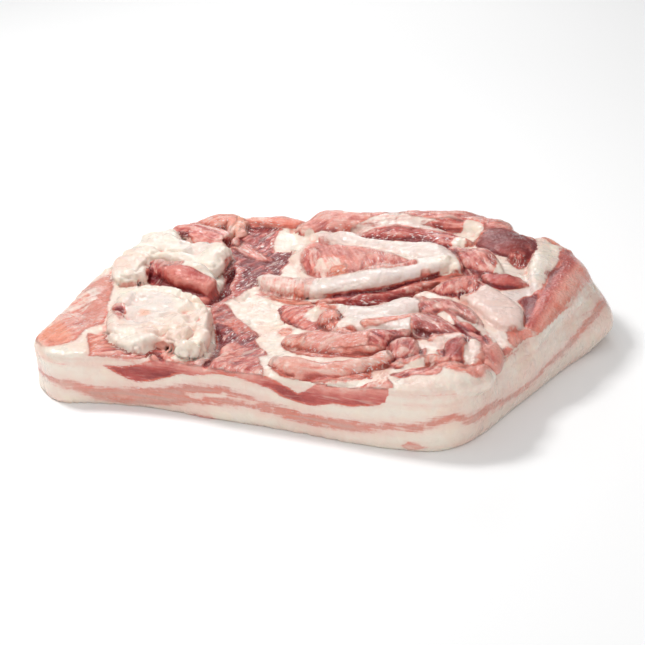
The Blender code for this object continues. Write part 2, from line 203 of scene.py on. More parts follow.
# Layers that the cut walls show: distance round the outline from its first point, lowest and
# highest z of the layer there, and its tone. The outline runs near, right, far and left side.
LAYERS = {
    "right_fat": dict(lean=-5, warm=0.17, rows=[
        (245, 20, 19, 0.4), (265, -5, 60, 0.4), (490, -5, 60, 0.4), (510, 20, 19, 0.4),
        (977, 20, 19, 0.4)]),
    "corner_blush": dict(lean=-2, warm=0.7, rows=[
        (0, 23, 28, 0.4), (10, 25, 28, 0.4), (22, 28, 26, 0.4), (945, 28, 26, 0.4),
        (958, 22, 28, 0.4), (977, 23, 28, 0.4)]),
    "foot_blood": dict(lean=2, rows=[
        (0, 2, 1, 0.5), (98, 1, 0, 0.5), (104, -3, 2, 0.5), (113, -3, 2, 0.5),
        (119, 0, -1, 0.5), (228, 4, 3, 0.3), (233, 1, 7, 0.3), (239, 2, 6, 0.3),
        (246, 4, 3, 0.3), (977, 2, 1, 0.3)]),
    "lower_streak": dict(lean=4, film=0.8, warm=0.45, soft=2.4, rows=[
        (0, 13, 15, 0.1), (10, 13, 15, 0.1), (20, 11, 16, 0.1), (28, 10, 16, 0.05),
        (35, 7, 13, 0.1), (42, 4, 12, 0.1), (55, 2, 12, 0.1), (70, 2, 13, 0.1),
        (85, 4, 16, 0.1), (100, 8, 20, 0.1), (120, 11, 23, 0.1), (140, 13, 19, 0.1),
        (152, 10, 17, 0.1), (170, 7, 14, 0.1), (200, 8, 15, 0.1), (220, 12, 16, 0.1),
        (240, 15, 19, 0.1), (250, 18, 22, 0.1), (259, 20, 25, -0.3), (268, 15, 20, -0.35),
        (278, 14, 20, -0.3), (293, 14, 19, -0.35), (308, 12, 16, -0.35), (322, 10, 14, -0.35),
        (333, 10, 14, -0.35), (346, 12, 16, -0.35), (359, 15, 18, -0.35), (369, 14, 19, -0.35),
        (381, 15, 19, -0.3), (393, 16, 22, -0.3), (403, 19, 23, -0.3), (412, 21, 26, -0.3),
        (423, 23, 28, -0.3), (436, 26, 31, -0.3), (470, 25, 30, -0.3), (520, 17, 23, 0.1),
        (600, 10, 16, 0.1), (690, 8, 15, 0.1), (780, 9, 14, 0.1), (880, 8, 13, 0.1),
        (940, 9, 13, 0.1), (977, 13, 15, 0.1)]),
    "pale_thread": dict(lean=-1, rows=[
        (92, 12, 12, 0), (105, 13, 16, 0), (122, 16, 19, 0), (138, 16, 18, 0),
        (155, 13, 13, 0), (977, 13, 12, 0)]),
    "near_wedge": dict(lean=4, rows=[
        (47, 26, 26, 0.6), (52, 23, 26, 0.6), (60, 19, 26, 0.6), (68, 17, 28, 0.65),
        (78, 19, 33, 0.65), (86, 22, 37, 0.7), (95, 26, 37, 0.5), (105, 27, 37, 0.4),
        (118, 30, 38, 0.35), (130, 30, 38, 0.35), (140, 28, 36, 0.45), (150, 26, 33, 0.55),
        (160, 22, 30, 0.6), (168, 20, 26, 0.6), (175, 20, 31, 0.6), (181, 21, 36, 0.6),
        (188, 24, 38, 0.5), (200, 24, 39, 0.5), (213, 26, 40, 0.5), (219, 29, 40, 0.5),
        (221, 36, 36, 0.5), (977, 36, 35, 0.5)]),
    "near_shoulder": dict(lean=3, rows=[
        (37, 36, 36, 0.35), (42, 32, 40, 0.35), (60, 30, 40, 0.4), (70, 31, 40, 0.45),
        (76, 35, 35, 0.5), (977, 35, 34, 0.5)]),
    "right_shoulder": dict(lean=1.5, warm=0.3, soft=2.5, rows=[
        (265, 46, 45, 0.3), (279, 40, 50, 0.3), (293, 42, 50, 0.3), (303, 44, 50, 0.3),
        (315, 40, 50, 0.3), (322, 37, 50, 0.3), (331, 39, 50, 0.25), (339, 42, 50, 0.2),
        (350, 43, 50, 0.2), (366, 43, 50, 0.2), (400, 44, 50, 0.3), (465, 43, 50, 0.3),
        (500, 40, 50, 0.4), (505, 45, 44, 0.4), (977, 45, 44, 0.4)]),
    "far_band": dict(lean=3, rows=[
        (500, 30, 29, 0.4), (540, 28, 33, 0.4), (600, 29, 37, 0.45), (680, 28, 36, 0.45),
        (740, 24, 33, 0.35), (800, 23, 29, 0.3), (850, 25, 24, 0.3), (977, 25, 24, 0.3)]),
    "left_shoulder": dict(lean=3, rows=[
        (745, 36, 35, 0.35), (760, 30, 40, 0.35), (815, 31, 42, 0.35), (830, 37, 36, 0.3),
        (868, 36, 35, 0.3), (880, 30, 42, 0.25), (950, 27, 42, 0.2), (963, 27, 36, 0.15),
        (972, 33, 32, 0.1), (977, 33, 32, 0.1)]),
}


def area(outline, lean, tone=0.45, film=0.0, warm=0.0, calm=0.0, fibres=None, below=None,
         soft=1.0):
    """A patch of the upper face, drawn over what lies under it.

    outline: x, y round the patch; lean, tone, film, warm, calm: as for a strap.
    fibres: the way the fibres run, in degrees from +X, or None to keep the strap's own.
    below: the patch stays lower than this over the slab; soft: more than 1 for a blurred edge.
    """
    return dict(outline=outline, lean=lean, tone=tone, film=film, warm=warm, calm=calm,
                fibres=fibres, below=below, soft=soft)


# Patches of the bare slab, which run on under the straps and lobes.
GROUND = {
    "left_lean": area([(-160, -105), (-164, -88), (-164, -65), (-161, -39), (-154, -24),
                       (-149, -10), (-143, -25), (-139, -39), (-136, -52), (-130, -66),
                       (-130, -78), (-136, -86), (-137, -102), (-149, -111)], 2.5, 0.05,
                      film=0.15, warm=0.1, fibres=65, soft=1.5),
    "left_lean_back": area([(-164, -66), (-161, -39), (-154, -24), (-149, -10), (-143, -25),
                            (-139, -39), (-136, -56), (-132, -78), (-142, -84), (-148, -60)],
                           0.5, 0.05, film=0.45, fibres=65, soft=2),
    "left_lean_front": area([(-160, -105), (-164, -88), (-160, -76), (-143, -92), (-138, -102),
                             (-148, -112)], 3, 0.1, warm=0.8, fibres=65, soft=1.5),
    "left_fat_fleck": area([(-163, -63), (-160, -46), (-153, -42), (-150, -52), (-152, -68)], 0,
                           0.0),
    "wedge_left": area([(-133, -91), (-126, -90), (-121, -84), (-108, -98), (-100, -108),
                        (-102, -122), (-117, -122), (-124, -110)], 4, 0.3, warm=0.55,
                       fibres=50),
    "wedge_front": area([(-117, -110), (-101, -106), (-95, -112), (-88, -104), (-84, -96),
                         (-60, -100), (-46, -108), (-46, -124), (-117, -124)], 4, 0.5,
                        warm=0.15, calm=0.3, fibres=20),
    "far_left_lean": area([(-150, 80), (-130, 84), (-122, 108), (-96, 110), (-94, 82),
                           (-96, 60), (-124, 61), (-138, 68)], 4, 0.42, warm=0.1, fibres=10),
    "upper_valley": area([(-97, 101), (-72, 101), (-71, 95), (-71, 87), (-69, 75), (-66, 66),
                          (-76, 60), (-92, 52), (-94, 66), (-96, 80)], 4, 0.62, fibres=72),
    "valley": area([(-94, 62), (-84, 57), (-74, 60), (-66, 68), (-54, 71), (-53, 60),
                    (-53, 45), (-55, 28), (-60, 20), (-65, 11), (-68, -2), (-71, -14),
                    (-78, -30), (-98, -24), (-104, -12), (-80, -4), (-86, 12), (-88, 46)], 5,
                   0.92, fibres=72),
    "white_streaks": area([(-98, 66), (-89, 74), (-80, 68), (-73, 62), (-64, 58), (-70, 51),
                           (-80, 52), (-89, 58)], 0.3, 0.5, film=0.2, fibres=140, soft=1.5),
    "valley_flecks": area([(-79, -18), (-69, -20), (-60, -31), (-50, -41), (-40, -49),
                           (-38, -58), (-46, -62), (-60, -54), (-72, -42)], 1.0, 0.75,
                          film=0.1, fibres=72),
    "low_valley": area([(-72, -46), (-60, -48), (-50, -56), (-40, -52), (-38, -60), (-30, -73),
                        (-22, -86), (-25, -93), (-21, -104), (-16, -124), (-58, -124),
                        (-58, -100), (-62, -84), (-68, -62)], 4, 0.6, fibres=75),
    "low_valley_dark": area([(-70, -48), (-58, -50), (-50, -64), (-49, -100), (-50, -120),
                             (-60, -120), (-60, -90), (-68, -64)], 6, 1.0, fibres=75),
    "low_valley_pale": area([(-53, -76), (-46, -68), (-38, -84), (-32, -100), (-38, -109),
                             (-48, -108)], 2, 0.25, warm=0.25, fibres=75),
    "near_chunk": area([(0, -128), (6, -118), (30, -117), (50, -112), (57, -115), (59, -130)],
                       4, 0.55, fibres=80),
}

# Patches drawn over straps and lobes.
PATCHES = {
    "orange_streak": area([(-103, 106), (-96, 106), (-95, 90), (-96, 76), (-101, 76),
                           (-101, 90)], 4, 0.05, warm=1.0, fibres=80),
    "far_trimmings": area([(-98, 112), (-84, 114), (-60, 113), (-60, 103), (-76, 101),
                           (-96, 100)], 0.5, 0.2, warm=0.5, fibres=0),
    "lobe_spot": area([(-130, -57), (-122, -55), (-118, -62), (-120, -68), (-113, -72),
                       (-116, -79), (-122, -73), (-127, -66)], 5, 0.95, fibres=130),
    "lobe_film": area([(-126, -44), (-112, -36), (-96, -44), (-90, -62), (-100, -80),
                       (-114, -80), (-118, -66)], -3, film=0.55, calm=-0.6),
    "lobe_crumple": area([(-88, -40), (-72, -46), (-61, -66), (-54, -90), (-54, -110),
                          (-70, -113), (-80, -102), (-88, -92), (-84, -64)], -4, warm=0.05,
                         calm=-1.6),
    "lobe_rim": area([(-127, -28), (-114, -20), (-97, -24), (-82, -34), (-70, -46), (-63, -64),
                      (-65, -68), (-72, -50), (-84, -37), (-98, -27), (-113, -23), (-124, -30)],
                     -1.2, warm=0.4),
    "lobe_orange": area([(-109, -63), (-103, -63), (-102, -70), (-108, -70)], -3, warm=1.0),
    "far_lobe_film": area([(-126, 60), (-112, 52), (-100, 50), (-104, 30), (-118, 30),
                           (-124, 44)], -3, film=0.5, calm=-0.5),
    "cut_white": area([(-108, -1), (-110, 14), (-102, 20), (-86, 20), (-79, 4), (-81, -4),
                       (-90, -4), (-98, -3)], -3),
    "cut_film": area([(-127, 2), (-125, 13), (-112, 13), (-106, 4), (-107, -1), (-119, 0)],
                     1.0, 0.7, film=0.55, fibres=90),
    "cut_front": area([(-120, -2), (-104, -2), (-94, -4), (-84, -6), (-77, -8), (-76, -16),
                       (-84, -26), (-98, -26), (-108, -18), (-119, -12)], 8, 0.58, warm=0.05,
                      calm=0.6, fibres=0),
    "cut_left": area([(-128, 2), (-120, 1), (-117, -9), (-122, -13), (-128, -7)], 4, 0.75,
                     fibres=90),
    # Dark lean on the floor of the left cleft, drawn darker than the darkest tone as painted shade.
    "cleft_floor": area([(-86, 24), (-86, 38), (-82, 28), (-76, 0), (-77, -24), (-83, -26),
                         (-80, -10), (-81, 6)], 6, 1.1, fibres=80),
    "strap_cream_edge": area([(-49, 95), (-53, 88), (-51, 66), (-53, 58), (-54, 45),
                              (-42, 49), (-39, 52), (-42, 60), (-42, 74), (-42, 88)], -1.5,
                             warm=0.12),
    "strap_lean": area([(-46, 60), (-45, 75), (-40, 88), (-27, 76), (-11, 67), (6, 56),
                        (21, 48), (36, 37), (39, 30), (27, 24), (14, 18), (-8, 20), (-18, 22),
                        (-30, 40), (-40, 49)], 2, 0.25, film=0.3, calm=0.5, fibres=122,
                       soft=3),
    "strap_red": area([(-43, 56), (-44, 66), (-40, 72), (-33, 64), (-30, 51), (-34, 44),
                       (-40, 50)], 5, 0.5, warm=0.1, fibres=110, soft=1.8),
    "strap_pale": area([(-32, 56), (-24, 54), (-14, 47), (-11, 39), (-12, 24), (-26, 42),
                        (-32, 47)], -0.1, -0.2, warm=0.2, fibres=122, soft=3),
    "strap_orange": area([(-21, 43), (-15, 44), (-9, 40), (-8, 26), (-14, 30)], 2, 0.3,
                         warm=0.9, fibres=10),
    "strap_right": area([(4, 52), (21, 47), (36, 37), (39, 30), (27, 24), (12, 18), (2, 32)],
                        3, 0.42, film=0.15, warm=0.05, fibres=110, soft=1.6),
    "bar_pink_end": area([(-55, 19), (-45, 24), (-34, 21), (-29, 14), (-28, 6), (-35, 7),
                          (-43, 9), (-54, 11)], 0.0, -0.1, film=0.15, calm=0.6, fibres=100, soft=3),
    "bar_red_dab": area([(-36, 10), (-32, 13), (-28, 9), (-30, 5), (-34, 6)], 3, 0.25,
                        warm=0.5),
    "bar_film": area([(-10, 12), (8, 15), (24, 23), (42, 30), (44, 22), (28, 14), (10, 8),
                      (0, 6), (-9, 6)], -3, film=0.9, calm=0.7),
    "bar_red_face": area([(-22, 1), (-8, 8), (8, 18), (24, 27), (44, 37), (60, 40), (62, 20),
                          (48, 12), (38, 4), (31, -10), (21, -14), (9, -14), (-2, -9),
                          (-12, -3)], 5, 0.62, calm=0.4, fibres=10, below=2.5, soft=1.5),
    # Dark lean on the floor of the gap under the long bar, drawn at the darkest tone as painted shade.
    "bar_gap": area([(0, 4), (14, 3), (26, 7), (36, 11), (48, 18), (44, 10), (34, -1),
                     (24, -7), (12, -7), (3, -3)], 6, 1.0, fibres=10, below=1, soft=1.3),
    "bar_ledge": area([(4, -6), (12, -8), (24, -8), (34, -3), (44, 6), (52, 16), (58, 14),
                       (50, 2), (40, -9), (30, -17), (20, -22), (8, -20), (2, -13)], 1.5, 0.35,
                      film=0.2, warm=0.3, fibres=20, below=3, soft=1.5),
    "bar_seam": area([(-50, 9), (-38, 8), (-26, 3), (-13, 1), (-6, 0), (-6, -6), (-22, -2),
                      (-36, 0), (-48, 5)], 2.5, 0.3, warm=0.7, fibres=0),
    "rough_lean": area([(-39, -2), (-30, -3), (-19, -6), (-10, -10), (-4, -20), (0, -30),
                        (2, -44), (8, -52), (-6, -50), (-16, -43), (-26, -33), (-35, -20)],
                       1.3, 0.42, fibres=55),
    "rough_white": area([(-17, -28), (-15, -19), (-5, -24), (-1, -34), (-7, -37), (-13, -34)],
                        -2, soft=2.5),
    "red_nugget": area([(-3, -33), (4, -34), (9, -40), (10, -47), (5, -53), (-2, -45)], 7, 0.5,
                       warm=0.3, fibres=120),
    "nugget_cap": area([(-9, -18), (-1, -20), (4, -31), (-3, -33), (-8, -27)], 1.2, 0.1,
                       warm=0.6),
    "red_dab": area([(-27, -41), (-22, -41), (-18, -50), (-22, -55), (-27, -49)], 3, 0.2,
                    warm=0.8),
    "film_bar_film": area([(10, -24), (22, -24), (32, -17), (42, -13), (50, -16), (54, -23),
                           (54, -36), (38, -41), (28, -46), (19, -44)], -2.5, film=0.8,
                          calm=0.7, soft=1.5),
    "film_bar_end": area([(45, -6), (58, 0), (68, -18), (66, -34), (60, -40), (55, -28),
                          (51, -16)], 1.0, 0.3, film=0.3, warm=0.2, fibres=80),
    "red_line": area([(24, -46), (38, -40), (56, -37), (64, -37), (63, -42), (44, -45),
                      (35, -48), (27, -51)], 2.0, 0.35, warm=0.45, fibres=5),
    "film_two": area([(28, -51), (35, -48), (44, -45), (55, -43), (62, -45), (64, -51),
                      (57, -57), (48, -62), (36, -62)], -2.5, film=0.8),
    "film_two_end": area([(60, -41), (67, -34), (73, -48), (68, -58), (58, -60), (64, -50)], 2,
                         0.5, fibres=90),
    "near_strap_marbled": area([(-5, -65), (8, -64), (21, -62), (34, -63), (49, -62),
                                (51, -72), (45, -80), (29, -87), (8, -89), (-5, -85),
                                (-11, -77)], 0.8, 0.15, film=0.2, calm=0.3,
                               fibres=35, soft=1.5),
    "near_strap_dark": area([(36, -66), (51, -63), (53, -72), (46, -81), (38, -83)], 4, 0.72,
                            fibres=150),
    "near_strap_edge": area([(-11, -78), (-4, -85), (8, -89), (29, -87), (40, -84), (47, -80),
                             (40, -79), (28, -82), (8, -84), (-2, -80)], 2.5, 0.25, warm=0.25,
                            fibres=0),
    "red_patch": area([(9, -62), (12, -52), (20, -50), (27, -57), (28, -67), (20, -70),
                       (13, -68)], 4, 0.4, warm=0.25, fibres=110),
    "near_strap_tail": area([(-18, -68), (-13, -65), (-4, -69), (-3, -77), (-10, -79),
                             (-17, -73)], 4, 0.35, warm=0.4, fibres=0),
    "cream_band": area([(-16, -86), (-4, -88), (20, -90), (36, -89), (43, -93), (32, -103),
                        (20, -102), (4, -100), (-10, -103), (-16, -96)], -3, warm=0.05),
    "strip_lean": area([(-11, -113), (-9, -105), (3, -104), (12, -102), (25, -105), (34, -102),
                        (42, -94), (52, -90), (60, -91), (62, -99), (54, -103), (49, -108),
                        (45, -115), (36, -119), (22, -121), (6, -121), (-6, -118)], 5, 0.2,
                       warm=0.25, fibres=3),
    "strip_lip": area([(-9, -117), (0, -121), (14, -122), (36, -121), (46, -117), (52, -119),
                       (40, -125), (18, -126), (0, -125), (-10, -121)], -1.5),
    "nub": area([(48, -75), (50, -66), (58, -61), (66, -66), (71, -80), (71, -97), (65, -101),
                 (57, -98), (51, -92), (49, -82)], 4, 0.6, film=0.15, fibres=90),
    "frill": area([(46, -107), (50, -103), (55, -103), (58, -106), (58, -114), (56, -123),
                   (50, -119), (47, -112)], -0.3, 0.2, warm=0.35, fibres=80),
    "white_strip": area([(56, -105), (62, -102), (68, -99), (77, -95), (75, -100), (64, -106),
                         (58, -110)], -3),
    "edge_lean": area([(57, -110), (68, -105), (76, -100), (82, -99), (86, -106), (84, -112),
                       (72, -113), (62, -114)], 3, 0.42, fibres=40),
    "far_film": area([(-30, 92), (-14, 99), (-4, 106), (4, 113), (12, 106), (24, 102), (48, 99),
                      (50, 94), (41, 88), (20, 90), (-2, 92), (-14, 88)], -0.3, 0.3, film=0.4,
                     fibres=10),
    "far_red": area([(28, 98), (43, 102), (56, 102), (57, 97), (46, 95), (33, 95)], 4, 0.5,
                    warm=0.1, fibres=0),
    "thin_muscle": area([(-14, 90), (10, 88), (32, 88), (42, 88), (52, 82), (58, 76),
                         (58, 70), (49, 71), (34, 74), (12, 79), (-8, 84)], 5, 0.7, film=0.05,
                        fibres=3),
    "far_white": area([(56, 103), (67, 99), (70, 88), (67, 79), (61, 75), (61, 69), (54, 69),
                       (52, 78), (56, 84), (50, 90), (54, 96)], -2.5),
    "fleck_in_white": area([(60, 82), (66, 82), (66, 75), (61, 76)], 2, 0.4, warm=0.5),
    "ridge_end": area([(50, 38), (60, 44), (65, 34), (62, 28), (54, 30)], -3, warm=0.1),
    "red_between": area([(44, 25), (55, 27), (63, 32), (72, 30), (71, 22), (60, 18), (52, 18),
                         (46, 17)], 4, 0.5, warm=0.25, fibres=20),
    "lump_lean": area([(56, 62), (62, 54), (68, 52), (77, 52), (88, 44), (92, 34), (85, 26),
                       (76, 25), (68, 32), (62, 44)], 4, 0.58, film=0.1, fibres=125),
    "lump_curl": area([(84, 58), (90, 57), (95, 40), (93, 26), (88, 26), (88, 40)], -2.5),
    "small_lump_lean": area([(53, 8), (63, 12), (68, 26), (78, 31), (85, 18), (89, 0),
                             (83, -9), (70, -2), (60, 1)], 4, 0.5, fibres=95),
    "small_lump_red": area([(69, 14), (76, 29), (83, 15), (81, 2), (74, 3)], 7, 0.62,
                           warm=0.15, fibres=95),
    "lump_foot_cream": area([(44, 14), (53, 6), (60, 0), (70, -3), (83, -10), (80, -14),
                             (64, -13), (52, -7), (44, 4)], -1.0, film=0.2, warm=0.2),
    "flap": area([(86, 8), (96, 5), (102, -1), (108, 1), (113, -5), (118, -20), (118, -28),
                  (111, -37), (105, -38), (98, -34), (91, -25), (84, -18), (80, -20), (80, -11),
                  (83, -4)], -2, film=0.85, warm=0.38, calm=1.0),
    "dark_lump": area([(81, 26), (86, 29), (90, 32), (98, 29), (104, 27), (110, 26), (104, 20),
                       (99, 17), (96, 14), (91, 16), (87, 20)], 6, 0.85, calm=0.8, fibres=10),
    "grey_hollow": area([(97, 13), (104, 18), (110, 25), (115, 27), (118, 18), (114, 11),
                         (108, 5), (104, 0), (101, 6)], -1.5, film=0.75, calm=1.0),
    "grey_hollow_two": area([(90, 48), (100, 50), (112, 42), (114, 32), (108, 27), (98, 36)],
                            -2, film=0.45),
    "under_flap": area([(108, 4), (111, 13), (116, 15), (119, 18), (120, 10), (122, -9),
                        (125, -28), (122, -31), (117, -27), (114, -8), (111, -1)], 5, 0.82,
                       calm=0.7, fibres=95),
    "round_muscle": area([(66, 88), (68, 78), (77, 68), (84, 65), (90, 63), (95, 56),
                          (101, 50), (104, 60), (106, 68), (103, 78), (97, 86), (88, 92),
                          (76, 93)], 7, 1.2, film=0.1, calm=0.7, fibres=20, soft=2.2),
    "round_back": area([(68, 90), (76, 96), (90, 96), (100, 88), (104, 92), (90, 104),
                        (72, 104)], 1.2, 0.6, film=0.25, fibres=20),
    "round_foot": area([(91, 64), (101, 67), (104, 57), (100, 50), (95, 54)], 4, 0.5, warm=0.1,
                       fibres=95),
    "side_muscle": area([(122, 96), (132, 92), (139, 80), (141, 66), (139, 51), (138, 38),
                         (136, 20), (134, 5), (133, -7), (131, -18), (126, -30), (123, -27),
                         (121, -9), (119, 11), (120, 28), (119, 45), (122, 55), (123, 64),
                         (121, 78)], 6, 0.72, film=0.12, calm=1.0, fibres=92, soft=1.7),
    "side_muscle_edge": area([(133, 90), (141, 80), (144, 66), (142, 44), (139, 16), (137, -6),
                              (130, -32), (125, -33), (127, -20), (129, -4), (131, 24),
                              (133, 50), (135, 70)], 0.6, -0.3, film=0.05, warm=0.35, calm=1.0,
                             fibres=92, soft=2.5),
    "back_rim": area([(84, 106), (94, 98), (104, 98), (126, 92), (128, 98), (104, 108)], 1.5,
                     0.1, warm=0.8),
    "slant_lean": area([(52, -21), (58, -18), (68, -16), (76, -20), (83, -27), (91, -35),
                        (92, -40), (84, -37), (74, -31), (65, -32), (56, -27)], 4, 0.6, film=0.2,
                       fibres=125),
    "slant_flecks": area([(66, -32), (71, -33), (76, -39), (79, -44), (76, -45), (72, -40)], -1.5),
    "slant_dark": area([(53, -42), (59, -38), (66, -34), (70, -38), (74, -43), (79, -46), (83, -50),
                        (82, -58), (77, -61), (70, -61), (62, -60), (56, -56)], 5, 0.78, film=0.1,
                       calm=0.2, fibres=140),
    "slant_band": area([(78, -45), (83, -43), (89, -43), (95, -44), (100, -50), (104, -58),
                        (99, -61), (92, -56), (86, -57), (81, -54)], 5, 0.8, calm=0.5,
                       fibres=140),
    "slant_cream": area([(79, -36), (89, -41), (94, -39), (98, -40), (103, -43), (108, -52),
                         (106, -60), (103, -54), (97, -45), (90, -43), (82, -42)], -0.6, 0.3,
                        film=0.25, fibres=125),
    "white_fold": area([(62, -62), (69, -64), (76, -62), (84, -61), (88, -60), (85, -68),
                        (80, -72), (72, -70), (66, -72)], -3, film=0.6, warm=0.2, soft=1.5),
    "dark_trimming": area([(79, -72), (84, -68), (90, -65), (93, -72), (95, -83), (93, -91),
                           (88, -91), (81, -84), (76, -77)], 6, 1.0, calm=0.5, fibres=80,
                          soft=1.5),
    "red_trimming": area([(72, -82), (79, -82), (86, -89), (92, -91), (94, -99), (90, -104),
                          (80, -104), (74, -98)], 3, 0.35, warm=0.3, fibres=80),
    "fan": area([(90, -99), (97, -90), (104, -92), (108, -98), (106, -104), (98, -106),
                 (88, -106)], 1.5, 0.3, warm=0.35, calm=0.8, fibres=60, soft=2),
    "white_fold_two": area([(92, -71), (94, -65), (98, -64), (101, -70), (102, -82), (100, -90),
                            (96, -90), (93, -80)], -2, film=0.6, warm=0.25, calm=0.5),
    "lower_trimming": area([(100, -67), (105, -72), (109, -80), (110, -90), (108, -99),
                            (103, -103), (101, -92)], 1.5, 0.4, film=0.35, warm=0.2, calm=1.0,
                           fibres=80, soft=2.5),
    "middle_trimming": area([(105, -71), (108, -63), (112, -55), (117, -52), (122, -46),
                             (122, -54), (119, -62), (116, -74), (111, -80), (107, -78)], 2, 0.5,
                            film=0.35, warm=0.15, calm=1.0, fibres=110, soft=2),
    "upper_trimming": area([(110, -37), (116, -33), (123, -31), (125, -38), (122, -46),
                            (117, -52), (112, -50), (109, -44)], 1.0, 0.3, film=0.35, warm=0.15,
                           calm=0.6, fibres=110, soft=2),
    "streaky_fat": area([(103, -42), (109, -40), (112, -50), (110, -55), (106, -56),
                         (101, -50)], -0.6, 0.3, film=0.45, fibres=125),
}

# Deep clefts between the straps: x, y, half width at each point, then the floor's depth
# under the slab's upper face.
CLEFTS = [
    dict(run=[(-20, 1, 1), (-4, -3, 3), (8, -8, 6), (22, -6, 7), (36, 4, 5), (54, 20, 2)], depth=9),
    dict(run=[(-82, 30, 2), (-80, 10, 3), (-77, -8, 3), (-82, -22, 3), (-94, -24, 2)], depth=5),
    dict(run=[(-62, -58, 2), (-56, -76, 3), (-51, -98, 3), (-50, -122, 3)], depth=3),
    dict(run=[(-88, -124, 2), (-85, -106, 3), (-74, -118, 2)], depth=3),
    dict(run=[(-98, 62, 1), (-97, 70, 1), (-98, 80, 1)], depth=4),
]

# Folds pressed into the upper face: x, y along each, then its width and depth.
FOLDS = [
    dict(run=[(-124, -32), (-113, -25), (-98, -28), (-84, -38), (-73, -49), (-67, -65)],
         width=3, depth=-1.3),
    dict(run=[(-120, -38), (-110, -32), (-98, -34), (-86, -44), (-77, -54), (-72, -66)],
         width=3, depth=1.5),
    dict(run=[(-71, -58), (-72, -68), (-72, -80)], width=1.8, depth=1.6),
    dict(run=[(-90, -86), (-84, -95), (-82, -104)], width=4, depth=2),
    dict(run=[(-126, -62), (-120, -64), (-114, -72)], width=5, depth=3.5),
    dict(run=[(-138, -40), (-124, -41), (-113, -35), (-98, -41), (-82, -52)], width=5,
         depth=-1.0),
    dict(run=[(-132, -50), (-118, -52), (-104, -48), (-92, -54)], width=4, depth=1.1),
    dict(run=[(-116, -70), (-106, -75), (-97, -74), (-90, -66)], width=3, depth=1.4),
    dict(run=[(-118, -92), (-108, -90), (-95, -92), (-86, -88)], width=5, depth=-1.0),
    dict(run=[(-112, -82), (-100, -82), (-92, -78), (-84, -80)], width=4, depth=1.2),
    dict(run=[(-78, -104), (-73, -97), (-67, -91), (-58, -92)], width=4, depth=2),
    dict(run=[(-88, -46), (-76, -54), (-68, -65), (-64, -78), (-60, -88)], width=3, depth=-1.2),
    dict(run=[(-86, -56), (-77, -64), (-74, -84)], width=4, depth=1.4),
    dict(run=[(-138, -24), (-129, -17), (-122, -14)], width=2.5, depth=1.8),
    dict(run=[(-132, -12), (-131, 4)], width=2, depth=1.4),
    dict(run=[(-128, 64), (-112, 40), (-105, 16)], width=9, depth=2),
    dict(run=[(-149, 44), (-137, 50), (-122, 38)], width=4, depth=-1.0),
    dict(run=[(-144, 26), (-134, 16), (-128, 26)], width=4, depth=1.4),
    dict(run=[(-146, -8), (-137, -10), (-128, -16)], width=3, depth=1.2),
    dict(run=[(60, -29), (77, -35), (94, -45), (103, -62)], width=4, depth=1.6),
    dict(run=[(81, -45), (91, -49), (101, -46), (112, -58)], width=4, depth=1.6),
    dict(run=[(82, -14), (95, -17), (108, -13)], width=6, depth=1.2),
    dict(run=[(92, -66), (98, -84), (97, -99)], width=4, depth=1.5),
    dict(run=[(101, -71), (106, -84), (106, -98)], width=5, depth=-1.2),
]


STEP = 1.25
STEP_LOW = 2.5
LOW_BELOW = 22.0
TOP_LEVEL = 66.0
MARGIN = 8.0
CURVE_STEPS = 6


# ---------------------------------------------------------------- curves and noise
def smooth_curve(rows, closed=False):
    """Catmull-Rom curve through rows of numbers; every column is carried along."""
    rows = np.asarray(rows, float)
    if closed:
        ring = np.vstack([rows[-1], rows, rows[:2]])
    else:
        ring = np.vstack([2 * rows[0] - rows[1], rows, 2 * rows[-1] - rows[-2]])
    t = np.linspace(0, 1, CURVE_STEPS, endpoint=False)[:, None]
    spans = []
    for a, b, c, d in zip(ring[:-3], ring[1:-2], ring[2:-1], ring[3:]):
        line = 2 * b + (c - a) * t
        bend = (2 * a - 5 * b + 4 * c - d) * t ** 2 + (3 * b - a - 3 * c + d) * t ** 3
        spans.append(0.5 * (line + bend))
    if not closed:
        spans.append(rows[-1:])
    return np.vstack(spans)


def nearest_on_curve(curve, plan):
    """Distance to a curve, its row at the nearest place, the side, and the length along it."""
    best = np.full(len(plan), np.inf)
    row = np.zeros((len(plan), curve.shape[1]))
    side = np.ones(len(plan))
    along = np.zeros(len(plan))
    done = 0.0
    for start, end in zip(curve[:-1], curve[1:]):
        way = end[:2] - start[:2]
        length = math.hypot(*way)
        offset = plan - start[:2]
        t = np.clip(offset @ way / max(length ** 2, 1e-9), 0, 1)
        gap = np.hypot(*(offset - t[:, None] * way).T)
        nearer = gap < best
        best[nearer] = gap[nearer]
        row[nearer] = start + t[nearer, None] * (end - start)
        along[nearer] = done + t[nearer] * length
        cross = way[0] * offset[nearer, 1] - way[1] * offset[nearer, 0]
        side[nearer] = np.where(cross >= 0, 1.0, -1.0)
        done += length
    return best, row, side, along


def inside_outline(curve, plan):
    """Distance to a closed outline, negative inside, with its row and length there."""
    ring = np.vstack([curve, curve[:1]])
    gap, row, _, along = nearest_on_curve(ring, plan)
    x, y = plan.T
    inside = np.zeros(len(plan), bool)
    for (x0, y0), (x1, y1) in zip(ring[:-1, :2], ring[1:, :2]):
        if y0 != y1:
            inside ^= ((y0 > y) != (y1 > y)) & (x < (x1 - x0) * (y - y0) / (y1 - y0) + x0)
    return np.where(inside, -gap, gap), row, along


def lattice_value(i, j, k, seed):
    """A repeatable number from -1 to 1 for each lattice point."""
    h = (i * 374761393 + j * 668265263 + k * 2147483647 + seed * 1274126177) & 0xFFFFFFFF
    h = ((h ^ (h >> 13)) * 1103515245) & 0xFFFFFFFF
    h = ((h ^ (h >> 15)) * 2246822519) & 0xFFFFFFFF
    return ((h ^ (h >> 16)) & 0xFFFF) / 32767.5 - 1.0


